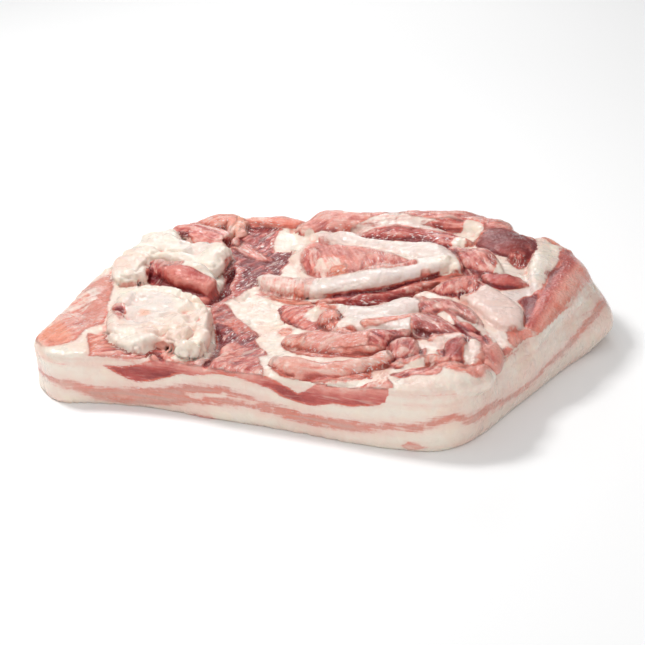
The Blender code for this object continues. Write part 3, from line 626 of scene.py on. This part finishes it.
def noise(points, size, seed):
    """Smooth noise from -1 to 1 with lumps of the given size."""
    q = points / size
    cell = np.floor(q).astype(np.int64)
    f = q - cell
    f = f * f * f * (f * (f * 6 - 15) + 10)
    total = np.zeros(len(q))
    for corner in np.ndindex(2, 2, 2):
        weight = np.prod(np.where(corner, f, 1 - f), axis=1)
        total += weight * lattice_value(*(cell + corner).T, seed)
    return total


def layered_noise(points, size, seed, octaves=3):
    """Noise with finer and fainter lumps added."""
    total = np.zeros(len(points))
    for octave in range(octaves):
        total += noise(points, size / 2 ** octave, seed + 17 * octave) / 2 ** octave
    return total / (2 - 2 ** (1 - octaves))


def ease(low, high, value):
    """0 below low, 1 above high, and smooth between."""
    t = np.clip((value - low) / (high - low), 0, 1)
    return t * t * (3 - 2 * t)


def smooth_min(a, b, radius):
    """Union of two distances with a fillet."""
    h = np.clip(0.5 + 0.5 * (b - a) / radius, 0, 1)
    return b * (1 - h) + a * h - radius * h * (1 - h)


def smooth_max(a, b, radius):
    """Intersection of two distances with a rounded edge."""
    return -smooth_min(-a, -b, radius)


# ---------------------------------------------------------------- the distance field
def section_distance(across, up, half_width, half_height, square=2.0):
    """Distance to a round or squared section, near enough close to its edge."""
    a, b = np.abs(across / half_width), np.abs(up / half_height)
    k = (a ** square + b ** square) ** (1 / square)
    slope = np.hypot(across / half_width ** 2, up / half_height ** 2)
    return k * (k - 1) / np.maximum(slope, 1e-6)


def thickness(plan):
    """Thickness of the bare slab, eased between the rows and columns of the table."""
    table = np.asarray(THICKNESS, float)
    column = np.interp(plan[:, 0], THICKNESS_X, np.arange(len(THICKNESS_X)))
    row = np.interp(plan[:, 1], THICKNESS_Y, np.arange(len(THICKNESS_Y)))
    i = np.minimum(column.astype(int), len(THICKNESS_X) - 2)
    j = np.minimum(row.astype(int), len(THICKNESS_Y) - 2)
    u = column - i
    v = row - j
    u = u * u * (3 - 2 * u)
    v = v * v * (3 - 2 * v)
    near = table[j, i] * (1 - u) + table[j, i + 1] * u
    far = table[j + 1, i] * (1 - u) + table[j + 1, i + 1] * u
    return near * (1 - v) + far * v


class Place:
    """Plan points with heights: z is a column of levels for a grid, or one height a point."""

    def __init__(self, plan, z):
        self.plan = plan
        self.z = z
        self.top = self.spread(thickness(plan))
        outline = smooth_curve(OUTLINE, closed=True)
        self.edge, self.row, self.round = inside_outline(outline, plan)

    def spread(self, column):
        """A value for each plan point, ready to be used with z."""
        return column if self.z.shape == column.shape else column[:, None]

    def plan_noise(self):
        """The plan points as rows of three, for noise."""
        return np.column_stack([self.plan, np.zeros(len(self.plan))])

    def part(self, chosen):
        """The same place with only the chosen plan points."""
        other = object.__new__(Place)
        other.plan = self.plan[chosen]
        other.z = self.z if self.z.shape[0] == 1 else self.z[chosen]
        other.top = self.top[chosen]
        return other


def slab_distance(place):
    """The bare slab: leaning walls, rounded upper edge, flat underside, curled corner."""
    z = place.z
    wall = place.spread(place.edge) + 0 * z
    wall = wall + place.spread(place.row[:, 2]) * np.clip(1 - z / BELT_HEIGHT, 0, 1) ** 2
    lean_in = np.clip((z - BELT_HEIGHT) / SHOULDER_SPAN, 0, 2) ** 1.5
    wall = wall + place.spread(place.row[:, 3]) * lean_in
    slab = smooth_max(wall, z - place.top, EDGE_ROUND)
    reach = (((place.plan - CURL_AT) / CURL_REACH) ** 2).sum(axis=1)
    curl = CURL_HEIGHT * np.clip(1 - reach, 0, 1) ** 1.5
    return np.maximum(slab, place.spread(curl) - z)


def strap_distance(shape, place):
    """Distance to one strap, and the side, length and relative height along it."""
    run = smooth_curve(shape["run"])
    gap, row, side, along = nearest_on_curve(run, place.plan)
    across = np.where(side > 0, gap / 1.3, gap)
    ragged = (1 - shape["calm"]) * layered_noise(place.plan_noise(), 7.0, 5)
    across = np.maximum(across + ragged, 0)
    seed = np.column_stack([along, np.full((len(gap), 2), run[0, :2])])
    swell = 1 + 0.2 * noise(seed, 18.0, 11)
    up = place.z - place.top - place.spread(row[:, 2])
    width, height = place.spread(row[:, 3] * swell), place.spread(row[:, 4] * swell)
    distance = section_distance(place.spread(across), up, width, height, shape["square"])
    return distance, side * gap, along, up / height


def lobe_distance(shape, place):
    """Distance to one lobe."""
    outline = smooth_curve(shape["outline"], closed=True)
    gap, _, _ = inside_outline(outline, place.plan)
    gap = gap + 1.3 * layered_noise(place.plan_noise(), 9.0, 8)
    lift = np.interp(place.plan[:, 0], shape["lift_x"], shape["lift"])
    up = place.z - place.top - place.spread(lift)
    across = place.spread(np.maximum(gap + shape["edge"], 0))
    return section_distance(across, up, shape["edge"], shape["half"])


def join(a, b, blend):
    """Union of two forms: a fillet where blend is large, a crease along the seam where small."""
    seam = np.clip(1 - np.abs(a - b) / 2.5, 0, 1) ** 2
    return smooth_min(a, b, blend / 2) + 0.7 * max(0.0, 3 - blend) * seam


def near_to(points, reach, plan):
    """Which plan points lie in the box round the given points, grown by reach."""
    low = points.min(axis=0) - reach
    high = points.max(axis=0) + reach
    return np.flatnonzero(np.all((plan > low) & (plan < high), axis=1))


def cleft_distance(shape, place):
    """Distance to the air in a cleft: a wedge that narrows downward."""
    run = smooth_curve(shape["run"])
    gap, row, _, _ = nearest_on_curve(run, place.plan)
    depth = place.top - place.z
    width = place.spread(row[:, 2]) * np.clip(1.25 - depth / shape["depth"], 0, 1.6)
    return np.maximum(place.spread(gap) - width, depth - shape["depth"]) * 0.8


def belly_field(place):
    """Distance to the whole slab over the grid, negative inside."""
    field = slab_distance(place)
    for shape in STRAPS.values():
        run = np.asarray(shape["run"], float)
        chosen = near_to(run[:, :2], run[:, 3].max() + 4 * shape["blend"], place.plan)
        distance = strap_distance(shape, place.part(chosen))[0]
        field[chosen] = join(field[chosen], distance, shape["blend"])
    for shape in LOBES.values():
        outline = np.asarray(shape["outline"], float)
        chosen = near_to(outline, 4 * shape["blend"], place.plan)
        distance = lobe_distance(shape, place.part(chosen))
        field[chosen] = join(field[chosen], distance, shape["blend"])
    for shape in CLEFTS:
        run = np.asarray(shape["run"], float)
        chosen = near_to(run[:, :2], 8, place.plan)
        distance = cleft_distance(shape, place.part(chosen))
        field[chosen] = smooth_max(field[chosen], -distance, 1.5)
    return field


# ---------------------------------------------------------------- from field to skin
def grid_axes():
    """Grid lines in x, y and z; the levels are wider apart low down on the plain walls."""
    outline = np.asarray(OUTLINE, float)[:, :2]
    low = outline.min(axis=0) - MARGIN
    high = outline.max(axis=0) + MARGIN
    xs = np.arange(low[0], high[0], STEP)
    ys = np.arange(low[1], high[1], STEP)
    levels = np.arange(-2 * STEP_LOW, LOW_BELOW, STEP_LOW)
    zs = np.concatenate([levels, np.arange(levels[-1] + STEP, TOP_LEVEL, STEP)])
    return xs, ys, zs


def corner_shift(array, corner):
    """The array as seen from one corner of each grid cell."""
    return array[tuple(slice(c, n - 1 + c) for c, n in zip(corner, array.shape))]


def surface_nets(field, axes):
    """Vertices and quads of the field's zero level: one vertex in each cell that it crosses."""
    inside = field < 0
    count = sum(corner_shift(inside, c).astype(np.uint8) for c in np.ndindex(2, 2, 2))
    cells = np.argwhere((count > 0) & (count < 8))
    index = np.full(count.shape, -1, np.int64)
    index[tuple(cells.T)] = np.arange(len(cells))
    total = np.zeros((len(cells), 3))
    crossings = np.zeros(len(cells))
    for corner in np.ndindex(2, 2, 2):
        for axis in range(3):
            if corner[axis]:
                continue
            a = cells + corner
            b = a.copy()
            b[:, axis] += 1
            va, vb = field[tuple(a.T)], field[tuple(b.T)]
            cross = (va < 0) != (vb < 0)
            t = (va[cross] / (va[cross] - vb[cross]))[:, None]
            pa = np.stack([line[a[cross, k]] for k, line in enumerate(axes)], axis=1)
            pb = np.stack([line[b[cross, k]] for k, line in enumerate(axes)], axis=1)
            total[cross] += pa + (pb - pa) * t
            crossings[cross] += 1
    quads = [axis_quads(inside, index, axis) for axis in range(3)]
    return total / crossings[:, None], np.vstack(quads)


def axis_quads(inside, index, axis):
    """One quad round each grid edge along the axis that the surface crosses."""
    u, v = [k for k in range(3) if k != axis]
    first = [slice(1, -1)] * 3
    first[axis] = slice(0, -1)
    second = list(first)
    second[axis] = slice(1, None)
    change = inside[tuple(first)] != inside[tuple(second)]
    edges = np.argwhere(change)
    edges[:, [u, v]] += 1
    leaving = inside[tuple(edges.T)]
    quad = []
    for du, dv in ((1, 1), (0, 1), (0, 0), (1, 0)):
        cell = edges.copy()
        cell[:, u] -= du
        cell[:, v] -= dv
        quad.append(index[tuple(cell.T)])
    quad = np.stack(quad, axis=1)
    flip = leaving if axis == 1 else ~leaving
    quad[flip] = quad[flip][:, ::-1]
    return quad


def vertex_normals(verts, quads):
    """Unit normals of the quads' vertices."""
    a, b, c, d = (verts[quads[:, k]] for k in range(4))
    face = np.cross(c - a, d - b)
    total = np.zeros_like(verts)
    for k in range(4):
        np.add.at(total, quads[:, k], face)
    return total / np.maximum(np.linalg.norm(total, axis=1), 1e-9)[:, None]


# ---------------------------------------------------------------- paint
PAINT = ("lean", "tone", "film", "warm", "calm")


def wall_paint(place, paint):
    """The layers that show on the cut walls."""
    for layer in LAYERS.values():
        round_, low, high, tone = np.array(layer["rows"], float).T
        low = np.interp(place.round, round_, low)
        high = np.interp(place.round, round_, high)
        depth = np.minimum(place.z - low, high - place.z) / layer.get("soft", 1.0)
        patch = dict(lean=layer["lean"], tone=np.interp(place.round, round_, tone),
                     film=layer.get("film", 0.0), warm=layer.get("warm", 0.0), calm=0.5)
        lay(paint, np.arange(len(depth)), depth, patch)



def lay(paint, chosen, depth, patch):
    """Draw one patch over the vertices: depth is how far inside it they lie."""
    old = paint["lean"][chosen]
    sign = np.sign(patch["lean"])
    signed = sign * np.minimum(depth, abs(patch["lean"]))
    same = sign * old > 0
    inner = old + (patch["lean"] - old) * ease(0, 2, depth)
    outer = sign * np.maximum(sign * old, sign * signed)
    paint["lean"][chosen] = np.where(depth > 0, np.where(same, inner, signed), outer)
    cover = ease(-2, 2, depth)
    for name in PAINT[1:]:
        value = np.broadcast_to(patch.get(name, 0.0), depth.shape)
        paint[name][chosen] += (value - paint[name][chosen]) * cover



def paint_straps(place, paint, grain, owner):
    """Each strap's own paint where the strap is the outermost form."""
    for number, shape in enumerate(STRAPS.values()):
        run = np.asarray(shape["run"], float)
        chosen = near_to(run[:, :2], run[:, 3].max() + 4, place.plan)
        distance, across, along, up = strap_distance(shape, place.part(chosen))
        mine = distance < owner[chosen]
        chosen, across, along, up = chosen[mine], across[mine], along[mine], up[mine]
        owner[chosen] = distance[mine]
        low = ease(0.4, 0.1, up)
        paint["lean"][chosen] = shape["lean"] + (shape["under"] - shape["lean"]) * low
        for name in PAINT[1:]:
            paint[name][chosen] = shape[name]
        grain[chosen] = np.stack([along, across, up * 6 + 40 * number], axis=1)


def paint_lobes(place, paint, grain, owner):
    """Plain fat on the lobes."""
    for shape in LOBES.values():
        outline = np.asarray(shape["outline"], float)
        chosen = near_to(outline, 4, place.plan)
        distance = lobe_distance(shape, place.part(chosen))
        mine = distance < owner[chosen]
        chosen = chosen[mine]
        owner[chosen] = distance[mine]
        paint["lean"][chosen] = shape["lean"]
        for name in PAINT[1:]:
            paint[name][chosen] = 0
        grain[chosen, :2] = place.plan[chosen]
        grain[chosen, 2] = place.z[chosen]


def paint_areas(areas, place, paint, grain, upper):
    """Patches of the upper face, in the order of their table."""
    for patch in areas.values():
        outline = smooth_curve(patch["outline"], closed=True)
        chosen = near_to(outline, 4, place.plan)
        chosen = chosen[upper[chosen]]
        depth = -inside_outline(outline, place.plan[chosen])[0] / patch["soft"]
        if patch["below"] is not None:
            depth = np.minimum(depth, place.top[chosen] + patch["below"] - place.z[chosen])
        lay(paint, chosen, depth, patch)
        if patch["fibres"] is not None:
            turned = chosen[depth > 0]
            angle = math.radians(patch["fibres"])
            way = np.array((math.cos(angle), math.sin(angle)))
            along = place.plan[turned] @ way
            across = place.plan[turned] @ (-way[1], way[0])
            grain[turned] = np.stack([along, across, place.z[turned] + 2 * patch["fibres"]], axis=1)


def paint_skin(verts):
    """What the material needs at each vertex."""
    place = Place(verts[:, :2], verts[:, 2])
    count = len(verts)
    paint = {name: np.zeros(count) for name in PAINT}
    paint["lean"] -= 5.0
    paint["tone"] += 0.4
    wall_paint(place, paint)
    grain = np.stack([place.round, place.z, place.edge], axis=1)
    owner = slab_distance(place)
    upper = (place.z > place.top - 2.2) | ((place.edge < -12) & (place.z > 12))
    paint["lean"][upper] = -5.0
    paint["tone"][upper] = 0.4
    grain[upper, :2] = place.plan[upper]
    paint_areas(GROUND, place, paint, grain, upper)
    paint_straps(place, paint, grain, owner)
    paint_lobes(place, paint, grain, owner)
    paint_areas(PATCHES, place, paint, grain, upper)
    return paint, grain, upper


# ---------------------------------------------------------------- relief
def creases(points, size, seed):
    """Sharp winding lines, 1 on a line and 0 between the lines."""
    swirl = np.column_stack([noise(points, size, seed + k) for k in range(3)]) * 0.35 * size
    return np.clip(1 - 5 * np.abs(noise(points + swirl, size, seed + 9)), 0, 1) ** 2


def hollows(verts, quads, normals, rounds=12):
    """How deep each vertex lies under the mean of its neighbours, in mm; below 0 on ridges; the material paints shade
    and highlights from it.
    """
    ends = np.vstack([quads[:, [k, (k + 1) % 4]] for k in range(4)])
    count = np.bincount(ends[:, 0], minlength=len(verts))
    mean = verts
    for _ in range(rounds):
        mean = np.column_stack([np.bincount(ends[:, 0], mean[ends[:, 1], k], len(verts))
                                for k in range(3)]) / count[:, None]
    return ((mean - verts) * normals).sum(axis=1)


def pressed_folds(verts):
    """How far the table of folds moves each vertex."""
    move = np.zeros(len(verts))
    for fold in FOLDS:
        run = smooth_curve(fold["run"])
        chosen = near_to(run, fold["width"], verts[:, :2])
        gap = nearest_on_curve(run, verts[chosen, :2])[0]
        move[chosen] -= fold["depth"] * np.clip(1 - gap / fold["width"], 0, 1) ** 1.5
    return move


def relief(verts, paint, grain, upper):
    """How far each vertex moves along its normal: folds in fat, fibres in lean."""
    fat = ease(1.0, -2.0, paint["lean"])
    folds = 1.5 * layered_noise(verts, 14, 21) - 2.0 * creases(verts * (0.7, 1.1, 1), 19, 31)
    folds -= 0.9 * creases(verts * (0.7, 1.1, 1), 9, 35)
    folds += 0.4 * layered_noise(verts, 5, 41)
    threads = noise(grain * (0.07, 0.45, 0.3), 1.0, 51) + 0.6 * noise(grain * (0.1, 0.8, 0.4), 1.0, 52)
    threads = 0.5 * threads + 1.6 * layered_noise(verts, 13, 61)
    rough = (fat * folds + (1 - fat) * threads) * (1 - paint["calm"])
    rough += pressed_folds(verts)
    cut = 0.5 * layered_noise(verts, 22, 71) + 0.12 * noise(verts, 4, 72)
    base = ease(2, 8, verts[:, 2])
    return np.where(upper, rough, cut) * base


# ---------------------------------------------------------------- the mesh
def skin_mesh(verts, quads, paint, grain):
    """A mesh of the skin with its paint as attributes."""
    mesh = bpy.data.meshes.new("belly_slab")
    mesh.from_pydata(((verts - CENTRE) * MM).tolist(), [], quads.tolist())
    for name, values in paint.items():
        layer = mesh.attributes.new(name, "FLOAT", "POINT")
        layer.data.foreach_set("value", values.astype(np.float32))
    layer = mesh.attributes.new("grain", "FLOAT_VECTOR", "POINT")
    layer.data.foreach_set("vector", grain.astype(np.float32).ravel())
    join_foot(mesh)
    mesh.shade_smooth()
    return mesh


def join_foot(mesh):
    """Make one face of the flat underside."""
    bm = bmesh.new()
    bm.from_mesh(mesh)
    flat = [face for face in bm.faces if max(vert.co.z for vert in face.verts) < 1e-6]
    bmesh.ops.dissolve_faces(bm, faces=flat)
    bm.to_mesh(mesh)
    bm.free()


def belly_slab():
    """The slab's skin as an object."""
    axes = grid_axes()
    plan = np.stack(np.meshgrid(axes[0], axes[1], indexing="ij"), axis=-1)
    place = Place(plan.reshape(-1, 2), axes[2][None, :])
    field = belly_field(place).reshape(plan.shape[:2] + axes[2].shape)
    verts, quads = surface_nets(field, axes)
    verts[:, 2] = np.maximum(verts[:, 2], 0)
    paint, grain, upper = paint_skin(verts)
    normals = vertex_normals(verts, quads)
    verts = verts + normals * relief(verts, paint, grain, upper)[:, None]
    # pit: depth in a hollow, used by the material for painted shade in hollows and painted highlights on ridges.
    paint["pit"] = hollows(verts, quads, vertex_normals(verts, quads))
    low, high = (np.array(corner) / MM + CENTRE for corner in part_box(NODE))
    verts = np.clip(verts, low, high)
    return bpy.data.objects.new("belly_slab", skin_mesh(verts, quads, paint, grain))


# ---------------------------------------------------------------- material
class Nodes:
    """A material's node tree, with short calls for the nodes that it needs."""

    def __init__(self, name):
        self.material = bpy.data.materials.new(name)
        self.material.use_nodes = True
        self.tree = self.material.node_tree
        self.shader = self.tree.nodes["Principled BSDF"]

    def put(self, socket, value):
        """Link a socket, or set a plain number or colour on it."""
        if isinstance(value, bpy.types.NodeSocket):
            self.tree.links.new(value, socket)
        else:
            socket.default_value = value

    def attribute(self, name, output="Fac"):
        node = self.tree.nodes.new("ShaderNodeAttribute")
        node.attribute_name = name
        return node.outputs[output]

    def math(self, kind, a, b=0.0, clamp=False):
        node = self.tree.nodes.new("ShaderNodeMath")
        node.operation = kind
        node.use_clamp = clamp
        self.put(node.inputs[0], a)
        self.put(node.inputs[1], b)
        return node.outputs[0]

    def vector_math(self, kind, a, b):
        node = self.tree.nodes.new("ShaderNodeVectorMath")
        node.operation = kind
        self.put(node.inputs[0], a)
        self.put(node.inputs[1], b)
        return node.outputs[0]

    def noise(self, where, scale, detail=2.0, roughness=0.5, distortion=0.0):
        node = self.tree.nodes.new("ShaderNodeTexNoise")
        self.put(node.inputs["Vector"], where)
        node.inputs["Scale"].default_value = scale
        node.inputs["Detail"].default_value = detail
        node.inputs["Roughness"].default_value = roughness
        node.inputs["Distortion"].default_value = distortion
        return node.outputs["Fac"]

    def add(self, *values):
        total = values[0]
        for value in values[1:]:
            total = self.math("ADD", total, value)
        return total

    def spread(self, value, amount):
        """Noise from 0 to 1 turned into a swing of plus or minus half the amount."""
        return self.math("MULTIPLY", self.math("SUBTRACT", value, 0.5), amount)

    def ramp(self, value, low, high, to_low=0.0, to_high=1.0, kind="SMOOTHSTEP"):
        node = self.tree.nodes.new("ShaderNodeMapRange")
        node.interpolation_type = kind
        self.put(node.inputs["Value"], value)
        node.inputs["From Min"].default_value = low
        node.inputs["From Max"].default_value = high
        self.put(node.inputs["To Min"], to_low)
        self.put(node.inputs["To Max"], to_high)
        return node.outputs["Result"]

    def mix(self, factor, a, b, kind="MIX"):
        node = self.tree.nodes.new("ShaderNodeMix")
        node.data_type = "RGBA"
        node.blend_type = kind
        self.put(node.inputs["Factor"], factor)
        self.put(node.inputs["A"], a)
        self.put(node.inputs["B"], b)
        return node.outputs["Result"]


FAT = (0.86, 0.76, 0.66, 1)
FAT_PINK = (0.84, 0.61, 0.52, 1)
FAT_YELLOW = (0.88, 0.74, 0.58, 1)
LEAN_TONES = ((0.0, (0.80, 0.49, 0.42, 1)), (0.33, (0.79, 0.30, 0.245, 1)),
              (0.62, (0.52, 0.09, 0.075, 1)), (1.0, (0.19, 0.012, 0.016, 1)))
FILM_FAT = (0.78, 0.66, 0.62, 1)
FILM_LEAN = (0.62, 0.39, 0.33, 1)
# Colour of the painted highlights on the lean.
PAINTED_GLINT_COLOUR = (0.85, 0.74, 0.71, 1)
# Red of blood along the lean's rims, and the red of the painted shade in the fat's deepest hollows.
BLOOD_AND_HOLLOW_SHADE = (0.74, 0.16, 0.10, 1)
BLUSH = (0.88, 0.36, 0.22, 1)


def tone_ramp(n, value):
    """Lean from pale to dark, for a tone from -0.5 to 1."""
    node = n.tree.nodes.new("ShaderNodeValToRGB")
    n.put(node.inputs["Fac"], n.ramp(value, -0.5, 1.0, kind="LINEAR"))
    ramp = node.color_ramp
    ramp.elements[0].position, ramp.elements[0].color = LEAN_TONES[0]
    ramp.elements[1].position, ramp.elements[1].color = LEAN_TONES[-1]
    for position, colour in LEAN_TONES[1:-1]:
        ramp.elements.new(position).color = colour
    return node.outputs["Color"]


def meat_material():
    """Raw pork: fat and lean split along a frayed edge, marbling and fibres in the lean, with painted shade in hollows
    and painted highlights on ridges and along the grain.
    """
    n = Nodes("raw_pork_belly")
    place = n.tree.nodes.new("ShaderNodeTexCoord").outputs["Object"]
    grain = n.attribute("grain", "Vector")
    film = n.attribute("film")
    warm = n.attribute("warm")

    def along_grain(scale, detail=3.0):
        return n.noise(n.vector_math("MULTIPLY", grain, scale), 1.0, detail=detail, roughness=0.6)

    fray = n.noise(place, 190, detail=5, roughness=0.6)
    streaks = along_grain((0.04, 0.55, 0.3))
    edge = n.add(n.attribute("lean"), n.spread(fray, 2.4), n.spread(streaks, 2.6))
    lean = n.ramp(edge, -0.6, 0.6)

    fibres = along_grain((0.07, 0.6, 0.5), 5)
    blotches = n.noise(place, 55, detail=4)
    cloud = n.noise(place, 38, detail=4, roughness=0.6)
    pit = n.attribute("pit")
    calm = n.attribute("calm")
    marbled = n.math("MULTIPLY", n.ramp(n.attribute("lean"), 4.0, 6.5, 1.0, 0.4),
                     n.ramp(calm, 0.0, 1.0, 1.0, 0.25))
    mottle = n.add(n.spread(fibres, 0.9), n.spread(blotches, 1.1), n.spread(streaks, 0.5))
    # From pit, the lean is drawn darker in hollows (painted shade) and paler on ridges (painted highlight).
    tone = n.add(n.attribute("tone"), n.math("MULTIPLY", mottle, marbled),
                 n.ramp(pit, -0.7, 0.7, -0.5, 0.5))
    lean_colour = tone_ramp(n, tone)
    lean_colour = n.mix(n.math("MULTIPLY", warm, n.ramp(blotches, 0.3, 0.6, 0.3, 0.75)),
                        lean_colour, BLUSH)
    threads = n.ramp(along_grain((0.022, 0.2, 0.2), 4), 0.57, 0.66, 0.0, 0.6)
    fine = n.ramp(along_grain((0.05, 0.8, 0.5), 4), 0.56, 0.72, 0.0, 0.45)
    flecks = n.math("MULTIPLY", n.math("MAXIMUM", threads, fine), marbled)
    lean_colour = n.mix(flecks, lean_colour, FAT_PINK)
    rim = n.math("MULTIPLY", n.ramp(edge, -0.2, 0.5), n.ramp(edge, 1.8, 0.7))
    lean_colour = n.mix(n.math("MULTIPLY", rim, n.ramp(blotches, 0.35, 0.6, 0.15, 0.75)),
                        lean_colour, BLOOD_AND_HOLLOW_SHADE)
    # Paler pink on the ridges, where pit is below 0: partly pale fascia, partly painted highlight.
    ridge_fascia_and_highlight = n.math("MULTIPLY", n.ramp(pit, -0.15, -0.8), n.ramp(fray, 0.42, 0.62, 0.0, 0.7))
    ridge_fascia_and_highlight = n.math("MULTIPLY", ridge_fascia_and_highlight, marbled)
    lean_colour = n.mix(ridge_fascia_and_highlight, lean_colour, FAT_PINK)
    # Painted highlights: short near-white streaks along the grain, mixed into the lean's colour.
    glint_streaks = n.noise(n.vector_math("MULTIPLY", grain, (0.3, 1.1, 0.7)), 1.0, detail=2)
    painted_glints = n.math("MULTIPLY", n.ramp(glint_streaks, 0.57, 0.65), n.ramp(cloud, 0.43, 0.55, 0.0, 0.95))
    painted_glints = n.math("MULTIPLY", painted_glints, n.ramp(calm, 0.48, 0.25))
    lean_colour = n.mix(painted_glints, lean_colour, PAINTED_GLINT_COLOUR)
    skin = n.math("MULTIPLY", film, n.ramp(streaks, 0.3, 0.6, 0.35, 1.0))
    lean_colour = n.mix(skin, lean_colour, FILM_LEAN)

    fat_colour = n.mix(n.ramp(cloud, 0.42, 0.7, 0.0, 0.75), FAT, FAT_PINK)
    fat_colour = n.mix(n.ramp(blotches, 0.5, 0.75, 0.0, 0.6), fat_colour, FAT_YELLOW)
    stain = n.math("MULTIPLY", n.ramp(edge, -3.2, -0.2), n.ramp(cloud, 0.3, 0.7, 0.25, 0.9))
    fat_colour = n.mix(stain, fat_colour, FAT_PINK)
    wander = n.noise(place, 70, detail=3, roughness=0.55, distortion=1.2)
    vein = n.ramp(n.math("ABSOLUTE", n.math("SUBTRACT", wander, 0.5)), 0.0, 0.03, 1.0, 0.0)
    vein = n.math("MULTIPLY", vein, n.ramp(cloud, 0.5, 0.65, 0.0, 0.55))
    fat_colour = n.mix(vein, fat_colour, FAT_PINK)
    # Painted shade: the fat turns pink in hollows and blood red in the deepest ones.
    fat_colour = n.mix(n.ramp(pit, 0.25, 1.2, 0.0, 0.6), fat_colour, FAT_PINK)
    fat_colour = n.mix(n.ramp(pit, 0.7, 1.6, 0.0, 0.55), fat_colour, BLOOD_AND_HOLLOW_SHADE)
    fat_colour = n.mix(film, fat_colour, FILM_FAT)
    fat_colour = n.mix(n.math("MULTIPLY", warm, 0.55), fat_colour, BLUSH)
    n.put(n.shader.inputs["Base Color"], n.mix(lean, fat_colour, lean_colour))

    gloss = n.noise(place, 110, detail=3)
    n.put(n.shader.inputs["Roughness"],
          n.add(n.ramp(gloss, 0.35, 0.65, 0.2, 0.42), n.math("MULTIPLY", lean, -0.05)))
    n.shader.inputs["Specular IOR Level"].default_value = 0.25
    n.shader.inputs["Coat Weight"].default_value = 0.5
    n.shader.inputs["Coat Roughness"].default_value = 0.06
    n.shader.inputs["Subsurface Weight"].default_value = 0.15
    n.shader.inputs["Subsurface Radius"].default_value = (0.004, 0.0014, 0.0009)
    n.shader.inputs["Subsurface Scale"].default_value = 1.0
    bump = n.tree.nodes.new("ShaderNodeBump")
    bump.inputs["Distance"].default_value = 0.001
    bump.inputs["Strength"].default_value = 0.8
    beads = n.noise(place, 560, detail=3)
    strands = n.add(n.spread(fibres, 1.1), n.spread(streaks, 0.9))
    lean_relief = n.add(n.math("MULTIPLY", strands, n.ramp(calm, 0.0, 1.0, 1.0, 0.25)),
                        n.spread(beads, 1.0))
    fat_relief = n.add(n.spread(fray, 1.0), n.spread(beads, 0.5), n.math("MULTIPLY", vein, -0.3))
    relief_height = n.add(n.math("MULTIPLY", lean_relief, lean),
                          n.math("MULTIPLY", fat_relief, n.math("SUBTRACT", 1.0, lean)))
    n.put(bump.inputs["Height"], relief_height)
    n.put(n.shader.inputs["Normal"], bump.outputs["Normal"])
    n.put(n.shader.inputs["Coat Normal"], bump.outputs["Normal"])
    return n.material


# ---------------------------------------------------------------- room, light and camera
TARGET = Vector((-0.0119, 0.0017, 0.017))
AZIMUTH = math.radians(16)
ELEVATION = math.radians(23.5)
LENS = 100.0
DISTANCE = 1.1198


def camera():
    """The camera, looking at the slab's near face from a little to its right."""
    back = Vector((math.sin(AZIMUTH) * math.cos(ELEVATION),
                   -math.cos(AZIMUTH) * math.cos(ELEVATION), math.sin(ELEVATION)))
    data = bpy.data.cameras.new("camera")
    data.lens = LENS
    item = bpy.data.objects.new("camera", data)
    item.location = TARGET + back * DISTANCE
    item.rotation_euler = back.to_track_quat("Z", "Y").to_euler()
    bpy.context.scene.collection.objects.link(item)
    bpy.context.scene.camera = item


def area_light(name, at, size, power, colour=(1, 1, 1)):
    """A square soft light that shines on the slab."""
    data = bpy.data.lights.new(name, "AREA")
    data.size = size
    data.energy = power
    data.color = colour
    item = bpy.data.objects.new(name, data)
    item.location = at
    item.rotation_euler = Vector(at).to_track_quat("Z", "Y").to_euler()
    bpy.context.scene.collection.objects.link(item)


def overhead_light(strength):
    """Even soft light from above."""
    data = bpy.data.lights.new("overhead", "SUN")
    data.energy = strength
    data.angle = math.radians(100)
    item = bpy.data.objects.new("overhead", data)
    item.visible_glossy = False
    bpy.context.scene.collection.objects.link(item)


def floor():
    """A plain pale floor."""
    mesh = bpy.data.meshes.new("floor")
    bm = bmesh.new()
    bmesh.ops.create_grid(bm, x_segments=1, y_segments=1, size=6.0)
    bm.to_mesh(mesh)
    bm.free()
    item = bpy.data.objects.new("floor", mesh)
    material = bpy.data.materials.new("pale_floor")
    material.use_nodes = True
    shader = material.node_tree.nodes["Principled BSDF"]
    shader.inputs["Base Color"].default_value = (0.97, 0.97, 0.97, 1)
    shader.inputs["Roughness"].default_value = 1.0
    shader.inputs["Specular IOR Level"].default_value = 0.0
    mesh.materials.append(material)
    bpy.context.scene.collection.objects.link(item)


def world():
    """Even white light from all round."""
    scene_world = bpy.data.worlds.new("room")
    scene_world.use_nodes = True
    background = scene_world.node_tree.nodes["Background"]
    background.inputs["Color"].default_value = (1, 1, 1, 1)
    background.inputs["Strength"].default_value = 0.22
    bpy.context.scene.world = scene_world


def dress():
    """Room, lights and camera, and the slab in place of its solid."""
    bpy.context.scene.view_settings.view_transform = "Standard"
    world()
    floor()
    camera()
    area_light("key", (-0.54, 0.08, 0.86), 0.22, 6.1)
    area_light("back", (-0.35, 1.2, 0.62), 0.3, 2.2)
    area_light("front", (0.45, -1.38, 0.7), 1.2, 8.0)
    overhead_light(0.85)
    slab = belly_slab()
    slab.data.materials.append(meat_material())
    bpy.context.scene.collection.objects.link(slab)
    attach(slab, "root")
    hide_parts(NODE)


dress()
